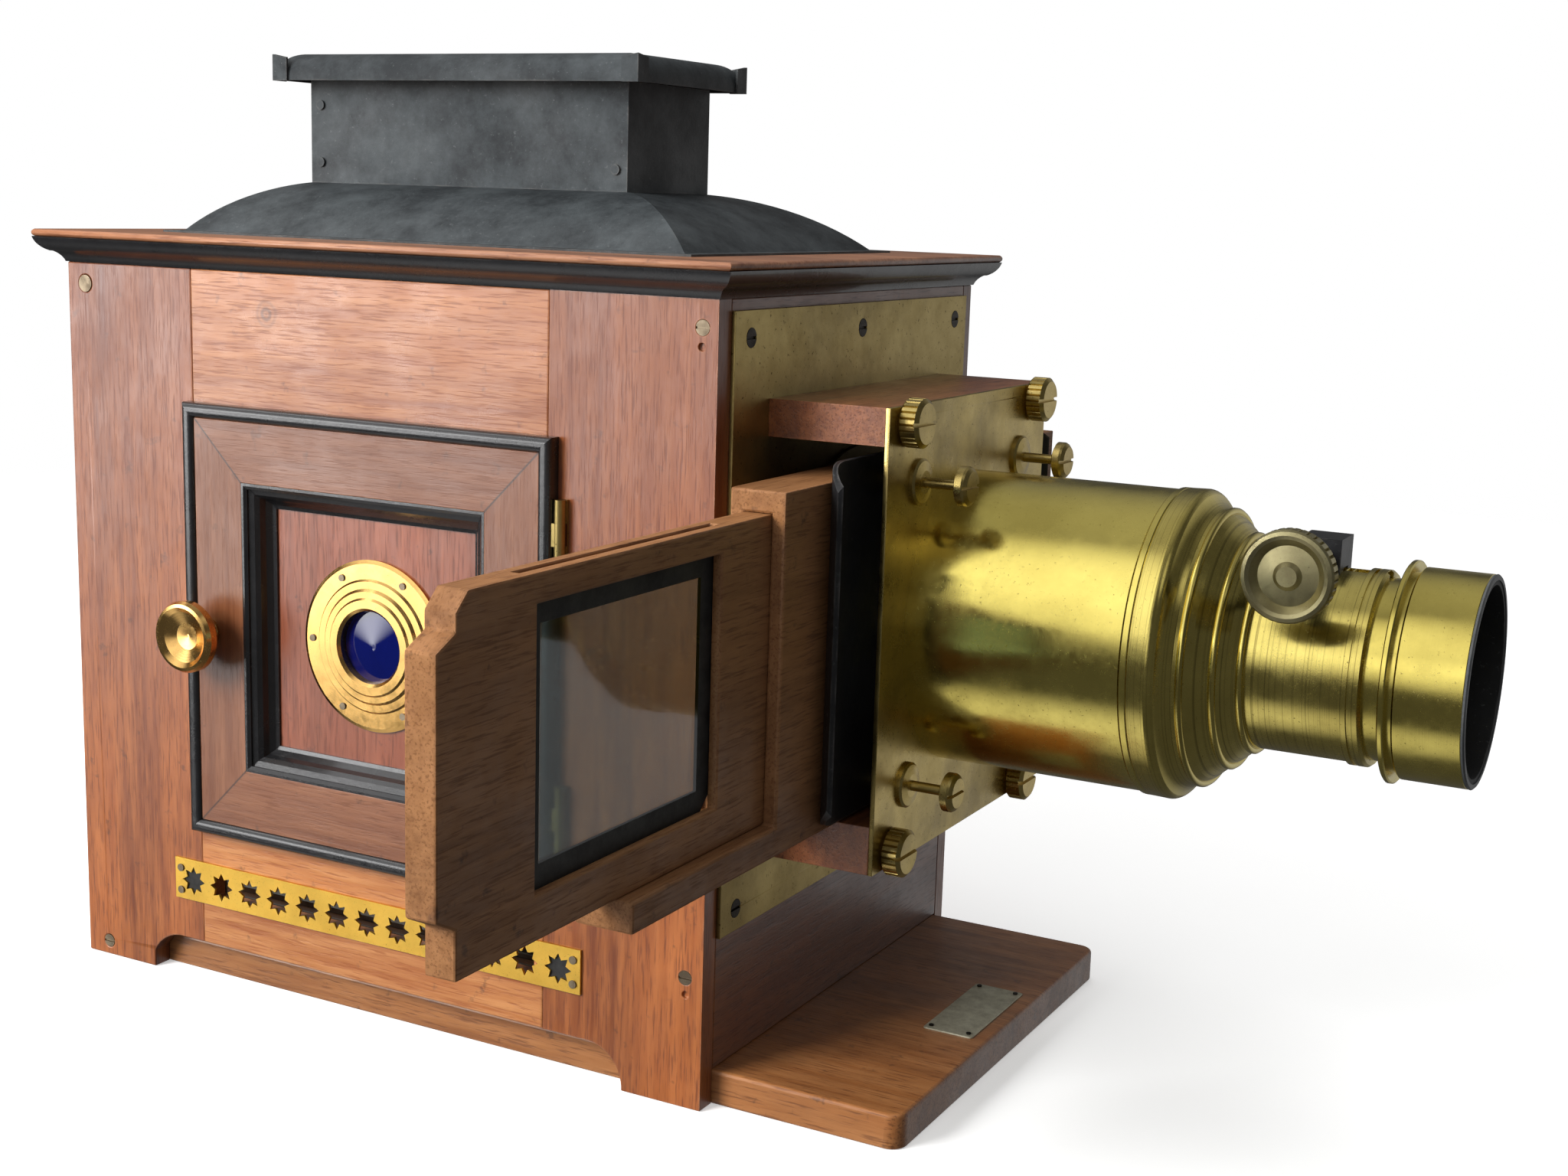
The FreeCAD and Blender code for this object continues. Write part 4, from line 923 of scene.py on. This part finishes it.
@dataclass
class LampHouse:
    """The wooden box, its mouldings and its tin lining."""

    finishes: Finishes
    ease: float = 0.0006
    roof_ease: float = 0.0004
    plate_ease: float = 0.0001
    shade_sheet_depth: float = 0.00025
    # Size and place of the black sheets of painted shade behind the end stars of the vent strips.
    shade_sheet_start: float = 0.0030
    shade_sheet_width: float = 0.0140
    shade_sheet_inset: float = 0.0018

    def build(self) -> None:
        """Dresses every piece of the box."""
        f = self.finishes
        # The near bottom rail takes the lighter mahogany copy (painted light) and the front board the
        # darker one (painted shade).
        for node, finish in (
                ("near_rear_stile", f.stile), ("near_front_stile", f.stile), ("near_top_rail", f.rail),
                ("near_bottom_rail", f.lit_lower_rail), ("far_wall", f.stile), ("front_board", f.front),
                ("rear_frame", f.stile), ("base_board", f.base)):
            eased(node, finish, self.ease)
        eased("roof_board", f.roof, self.roof_ease)
        dress(f.black_wood, "cornice")
        dress(f.bare_tin, "inner_lining")
        for node in ("near_vent_strip", "far_vent_strip"):
            dress(f.strip, node)
            # Painted shade: black sheets behind the end stars of each vent strip.
            self._painted_shade(node)
        dress(f.screw, "wall_screws")
        eased("nameplate", f.plate, self.plate_ease)
        dress(f.black_screw, "nameplate_pins")

    def _painted_shade(self, strip: str) -> None:
        """Lays a black sheet behind each of the two end stars of a vent strip, where the wall is whole:
        painted shade that makes them as dark as the other stars.

        Args:
            strip: The name of the vent strip's node.
        """
        low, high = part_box(strip)
        wall = high.y if high.y < 0 else low.y
        out = math.copysign(self.shade_sheet_depth, wall)
        nick = self.shade_sheet_inset
        foot, top = low.z + nick, high.z - nick
        work = bmesh.new()
        for start in (low.x + self.shade_sheet_start, high.x - self.shade_sheet_start - self.shade_sheet_width):
            end = start + self.shade_sheet_width
            plan = [(start + nick, foot), (end - nick, foot), (end, foot + nick), (end, top - nick),
                    (end - nick, top), (start + nick, top), (start, top - nick), (start, foot + nick)]
            closed(work, *([work.verts.new((x, y, z)) for x, z in plan] for y in (wall, wall + out)))
        piece_from(strip + "_painted_shade", work, self.finishes.paper, "lantern", angle=20)


@dataclass
class TinTop:
    """The hipped top, its chimney and the lift-off cap with folded corners."""

    finishes: Finishes
    sheet: float = 0.0009
    fold_reach: float = 0.0062
    fold_height: float = 0.0106
    fold_below: float = 0.0006
    fold_slope: float = 0.0011
    fold_tips: tuple[int, ...] = (1, 2, 4, 5)
    seam_start: float = 0.0100
    seam_end: float = 0.0210
    seam_bevel: float = 0.0015
    seam_edge: float = 0.0007
    seam_sunk: float = 0.0008
    seam_short: float = 0.0010

    def build(self) -> None:
        """Dresses the sheet metal, folds the corners of the cap and adds the chimney's seam."""
        dress(self.finishes.black_tin, "dome", "chimney", "chimney_cap")
        self._folds()
        self._seam()

    def _folds(self) -> None:
        """Wraps a small folded tab round each corner of the cap."""
        low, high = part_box("chimney_cap")
        reach, thick = self.fold_reach, self.sheet
        foot, top = high.z - self.fold_height, high.z - self.fold_below
        work = bmesh.new()
        for x, along in ((low.x, -1), (high.x, 1)):
            for y, across in ((low.y, -1), (high.y, 1)):
                plan = [
                    (x + along * thick, y + across * thick), (x + along * thick, y - across * reach),
                    (x, y - across * reach), (x, y), (x - along * reach, y),
                    (x - along * reach, y + across * thick),
                ]
                heights = [top] * len(plan)
                for tip in self.fold_tips:
                    heights[tip] = top - self.fold_slope
                self._raised(work, plan, foot, heights)
        piece_from("cap_corner_folds", work, self.finishes.black_tin, "cap", angle=30)

    @staticmethod
    def _raised(work: Drawing, plan: list[Pair], foot: float, heights: list[float]) -> None:
        """Raises a plan into a solid.

        Args:
            work: The mesh to draw into.
            plan: Corners of the plan in order.
            foot: Height of the foot.
            heights: Height of the top at each corner.
        """
        below = [work.verts.new((x, y, foot)) for x, y in plan]
        above = [work.verts.new((x, y, height)) for (x, y), height in zip(plan, heights)]
        closed(work, below, above)

    def _seam(self) -> None:
        """Adds the lapped seam that closes the chimney on its far side."""
        low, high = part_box("chimney")
        start, end = self.seam_start, self.seam_end
        inner = high.y - self.seam_sunk
        outer = inner + self.sheet
        plan = [(start, inner), (end, inner), (end, inner + self.seam_edge), (end - self.seam_bevel, outer),
                (start, outer)]
        work = bmesh.new()
        self._raised(work, plan, low.z, [high.z - self.seam_short] * len(plan))
        piece_from("chimney_seam", work, self.finishes.black_tin, "lantern", angle=30)


@dataclass
class Door:
    """The hinged door with its window and knob."""

    finishes: Finishes
    frame_ease: float = 0.0005
    panel_ease: float = 0.0003
    knuckle: float = 0.0042

    def build(self) -> None:
        """Dresses every piece of the door."""
        f = self.finishes
        eased("door_frame", f.door, self.frame_ease)
        eased("door_panel", f.panel, self.panel_ease)
        dress(f.black_wood, "door_bead", "door_moulding")
        dress(f.gold, "door_bezel", "door_knob")
        dress(f.blue, "door_glass")
        dress(f.screw, "door_screws")
        dress(f.old_plate, "door_hinge_leaves")
        self._knuckles()

    def _knuckles(self) -> None:
        """Shows only the knuckles of the fixed hinge leaves, which lie in the stile's edge."""
        work = bmesh.new()
        work.from_mesh(NODES["fixed_hinge_leaves"].data)
        bmesh.ops.remove_doubles(work, verts=work.verts, dist=SAME_PLACE)
        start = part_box("fixed_hinge_leaves")[0].x
        cut = bmesh.ops.bisect_plane(
            work, geom=work.verts[:] + work.edges[:] + work.faces[:], plane_co=(start + self.knuckle, 0, 0),
            plane_no=(1, 0, 0), clear_outer=True)
        rims = [edge for edge in cut["geom_cut"] if isinstance(edge, bmesh.types.BMEdge)]
        bmesh.ops.holes_fill(work, edges=rims)
        made = piece_from("hinge_knuckles", work, self.finishes.old_plate, "lantern", angle=30)
        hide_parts("fixed_hinge_leaves")


@dataclass
class Stage:
    """The front plate, the stage and the sprung pressure plate."""

    finishes: Finishes
    plate_ease: float = 0.0002
    block_ease: float = 0.0009

    def build(self) -> None:
        """Dresses the stage and the condenser."""
        f = self.finishes
        eased("front_plate", f.old_plate, self.plate_ease)
        dress(f.black_screw, "plate_screws")
        # The stage blocks take the darker front mahogany: painted shade.
        eased("stage_top_block", f.front, self.block_ease)
        eased("stage_bottom_block", f.front, self.block_ease)
        eased("stage_plate", f.stage, self.plate_ease)
        dress(f.stage, "stage_screws", "plunger_bushes", "plungers")
        dress(f.black_plate, "pressure_plate")
        dress(f.old_plate, "condenser_cell", "condenser_spacer")
        dress(f.clear, "condenser_rear_lens", "condenser_front_lens")


@dataclass
class LensTube:
    """The jacket, the cone and the sliding focusing tube with its hood.

    The points of the lining and the rim are steps along the tube and depths under the hood's outside.
    """

    finishes: Finishes
    lining_start: float = 0.0028
    lining_foot: tuple[Pair, ...] = ((0.0, 0.0046), (-0.0004, 0.0046), (0.0, 0.0030))
    lining_mouth: tuple[Pair, ...] = (
        (-0.0004, 0.0019), (0.0002, 0.0017), (0.0002, 0.0034), (-0.0012, 0.0036))
    rim: tuple[Pair, ...] = (
        (-0.0012, 0.0004), (0.0001, -0.0001), (0.0006, 0.0004), (0.0006, 0.0018), (-0.0012, 0.0018))
    ring: float = 0.0013
    ring_sides: int = 10
    rings: tuple[Pair, ...] = ((0.0153, 0.0466), (0.0240, 0.0392), (0.0312, 0.0328))

    def build(self) -> None:
        """Dresses the turned brass, lines the hood in black and adds the rings of the cone."""
        f = self.finishes
        dress(f.tube, "lens_jacket", "focus_tube", "hood")
        dress(f.barrel, "lens_cone")
        dress(f.knob, "focus_knob")
        dress(f.black_plate, "pinion_box")
        dress(f.black_screw, "pinion")
        dress(f.clear, "objective_front_lens", "objective_rear_lens")
        low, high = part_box("hood")
        axis = (low + high) / 2
        self._hood(Vector((low.x, axis.y, axis.z)), high.x - low.x, (high.z - low.z) / 2)
        self._rings(Vector((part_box("lens_cone")[0].x, axis.y, axis.z)))

    def _hood(self, start: Vector, length: float, radius: float) -> None:
        """Lines the hood in black and rolls its rim.

        Args:
            start: The middle of the hood's rear end.
            length: The hood's length.
            radius: The hood's outer radius.
        """
        foot = [(self.lining_start + along, radius - depth) for along, depth in self.lining_foot]
        mouth = [(length + along, radius - depth) for along, depth in self.lining_mouth]
        turned("hood_lining", foot + mouth, start, self.finishes.dark_inside, "focus")
        rim = [(length + along, radius - depth) for along, depth in self.rim]
        turned("hood_rim", rim, start, self.finishes.rim, "focus")

    def _rings(self, start: Vector) -> None:
        """Adds the small round rings on the lens cone.

        Args:
            start: The middle of the cone's rear end.
        """
        turns = [2 * math.pi * step / self.ring_sides for step in range(self.ring_sides)]
        for number, (along, away) in enumerate(self.rings, 1):
            section = [
                (along + self.ring * math.cos(turn), away + self.ring * math.sin(turn)) for turn in turns]
            turned(f"cone_ring_{number}", section, start, self.finishes.barrel, "lantern")


@dataclass
class Carrier:
    """The long slide carrier, its sliding frame and the glass slide."""

    finishes: Finishes
    frame_ease: float = 0.0009
    slide_ease: float = 0.0007

    def build(self) -> None:
        """Dresses the carrier and the slide."""
        f = self.finishes
        eased("carrier_frame", f.carrier, self.frame_ease)
        eased("slide_frame", f.carrier, self.slide_ease)
        dress(f.paper, "slide_binding")
        dress(f.pane, "slide_glass")


@dataclass
class Lamp:
    """The oil lamp on its tray."""

    finishes: Finishes
    ease: float = 0.0003

    def build(self) -> None:
        """Dresses the lamp."""
        for node in ("lamp_tray", "lamp_fount", "lamp_burner"):
            eased(node, self.finishes.bare_tin, self.ease)


@dataclass(frozen=True)
class Glow:
    """A soft round patch of light far away, from full to nothing between two angles in degrees."""

    towards: Point
    inner: float
    outer: float
    level: float


@dataclass(frozen=True)
class SoftLamp:
    """A square lamp above the lantern."""

    name: str
    place: Point
    size: float
    power: float


@dataclass
class Studio:
    """Floor, world, lamps and camera."""

    sky_level: float = 0.10
    sky_glows: tuple[Glow, ...] = (
        Glow((-0.35, -0.85, 0.35), 10, 62, 0.75), Glow((-0.1, -0.1, 1.0), 5, 60, 0.55))
    room_level: float = 0.075
    room_glows: tuple[Glow, ...] = (
        Glow((-0.42, -0.66, 0.60), 10, 37, 1.45), Glow((-0.66, -0.75, 0.05), 5, 17, 8.5),
        Glow((-0.64, -0.10, 0.76), 4, 12, 3.6), Glow((-0.06, -0.97, 0.18), 6, 19, 1.20),
        Glow((-0.40, -0.36, -0.84), 8, 24, 0.75), Glow((-0.3, 0.25, 0.9), 8, 50, 0.34),
        Glow((0.45, 0.87, -0.08), 10, 42, 0.42), Glow((0.55, -0.35, 0.75), 6, 18, 0.60))
    lamps: tuple[SoftLamp, ...] = (
        SoftLamp("key", (-0.95, -1.75, 1.15), size=1.0, power=68.0),
        SoftLamp("top", (-0.3, 0.3, 1.9), size=1.2, power=12.0))
    floor_size: float = 8.0
    floor_place: Point = (0.1, 0.0, -0.0002)
    floor_tones: tuple[Colour, Colour] = ((0.90, 0.90, 0.895), (0.93, 0.93, 0.925))
    floor_rough: float = 0.85
    lift: float = 0.42
    fade: Pair = (0.7, 1.6)
    azimuth: float = 27.891
    elevation: float = 10.731
    roll: float = -1.807
    focal: float = 47.49
    sensor: float = 36.0
    spot: Point = (0.4756, -0.6785, 0.3100)
    middle: Point = (0.08, -0.03, 0.17)

    def build(self) -> None:
        """Sets up everything round the lantern."""
        self._floor()
        self._world()
        self._lamps()
        self._camera()

    def _floor(self) -> None:
        """Lays a pale floor that takes the shadow and fades into the background."""
        bpy.ops.mesh.primitive_plane_add(size=self.floor_size, location=self.floor_place)
        floor = bpy.context.object
        floor.name = "floor"
        net = Surface("Pale floor")
        net.set("Base Color", net.mix(net.noise(net.place, scale=30.0, detail=4.0), *self.floor_tones))
        net.set("Roughness", self.floor_rough)
        seen = net.add("ShaderNodeLightPath").outputs["Is Camera Ray"]
        net.set("Emission Color", WHITE)
        net.set("Emission Strength", net.calc("MULTIPLY", seen, self.lift))
        away = net.calc("LENGTH", net.place, vectors=True)
        net.set("Alpha", net.span(away, *self.fade, 1.0, 0.0))
        floor.data.materials.append(net.material)
        floor.visible_glossy = False
        floor.visible_diffuse = False

    def _world(self) -> None:
        """Shows white to the camera, a dim room to polished surfaces and a soft sky to the rest."""
        world = bpy.data.worlds.new("Studio")
        bpy.context.scene.world = world
        world.use_nodes = True
        net = Net(world.node_tree)
        back = world.node_tree.nodes["Background"]
        path = net.add("ShaderNodeLightPath")
        ray = net.add("ShaderNodeTexCoord").outputs["Generated"]
        sky = self._glows(net, ray, self.sky_glows, self.sky_level)
        room = self._glows(net, ray, self.room_glows, self.room_level)
        lit = net.mix(path.outputs["Is Glossy Ray"], sky, room, Blend.NUMBER)
        seen = net.calc("MAXIMUM", path.outputs["Is Camera Ray"], path.outputs["Is Transmission Ray"])
        net.feed(back.inputs["Strength"], net.mix(seen, lit, 1.0, Blend.NUMBER))
        net.feed(back.inputs["Color"], WHITE)

    @staticmethod
    def _glows(net: Net, ray: Socket, glows: tuple[Glow, ...], level: float) -> Socket:
        """Adds up soft round patches of light round the scene.

        Args:
            net: The world's net.
            ray: The direction looked into.
            glows: The patches.
            level: The level between them.

        Returns:
            The socket of the total.
        """
        total = level
        for glow in glows:
            near = net.calc("DOT_PRODUCT", ray, Vector(glow.towards).normalized(), vectors=True)
            edges = math.cos(math.radians(glow.outer)), math.cos(math.radians(glow.inner))
            total = net.calc("ADD", total, net.span(near, *edges, 0.0, glow.level))
        return total

    def _lamps(self) -> None:
        """Hangs the soft lamps and aims them at the lantern."""
        for lamp in self.lamps:
            light = bpy.data.lights.new(lamp.name, "AREA")
            light.size = lamp.size
            light.energy = lamp.power
            hung = bpy.data.objects.new(lamp.name, light)
            bpy.context.scene.collection.objects.link(hung)
            hung.location = lamp.place
            aim = Vector(self.middle) - Vector(lamp.place)
            hung.rotation_euler = aim.to_track_quat("-Z", "Y").to_euler()
            hung.visible_glossy = False

    def _camera(self) -> None:
        """Puts the camera at the photograph's viewing angle."""
        around, up, tilt = (math.radians(angle) for angle in (self.azimuth, self.elevation, self.roll))
        ahead = Vector((-math.sin(around) * math.cos(up), math.cos(around) * math.cos(up), -math.sin(up)))
        right = Vector((math.cos(around), math.sin(around), 0))
        right = math.cos(tilt) * right + math.sin(tilt) * ahead.cross(right)
        down = ahead.cross(right)
        lens = bpy.data.cameras.new("camera")
        lens.lens = self.focal
        lens.sensor_width = self.sensor
        camera = bpy.data.objects.new("camera", lens)
        bpy.context.scene.collection.objects.link(camera)
        turn = Matrix((right, -down, -ahead)).transposed()
        camera.matrix_world = Matrix.Translation(self.spot) @ turn.to_4x4()
        bpy.context.scene.camera = camera
        bpy.context.scene.view_settings.view_transform = "Standard"


def main() -> None:
    """Dresses the lantern, one sub-assembly after another."""
    logging.basicConfig(level=logging.INFO)
    finishes = Finishes()
    for part in (LampHouse, TinTop, Door, Stage, LensTube, Carrier, Lamp):
        part(finishes).build()
        LOG.info("finished %s", part.__name__)
    Studio().build()


if __name__ == "__main__":
    main()
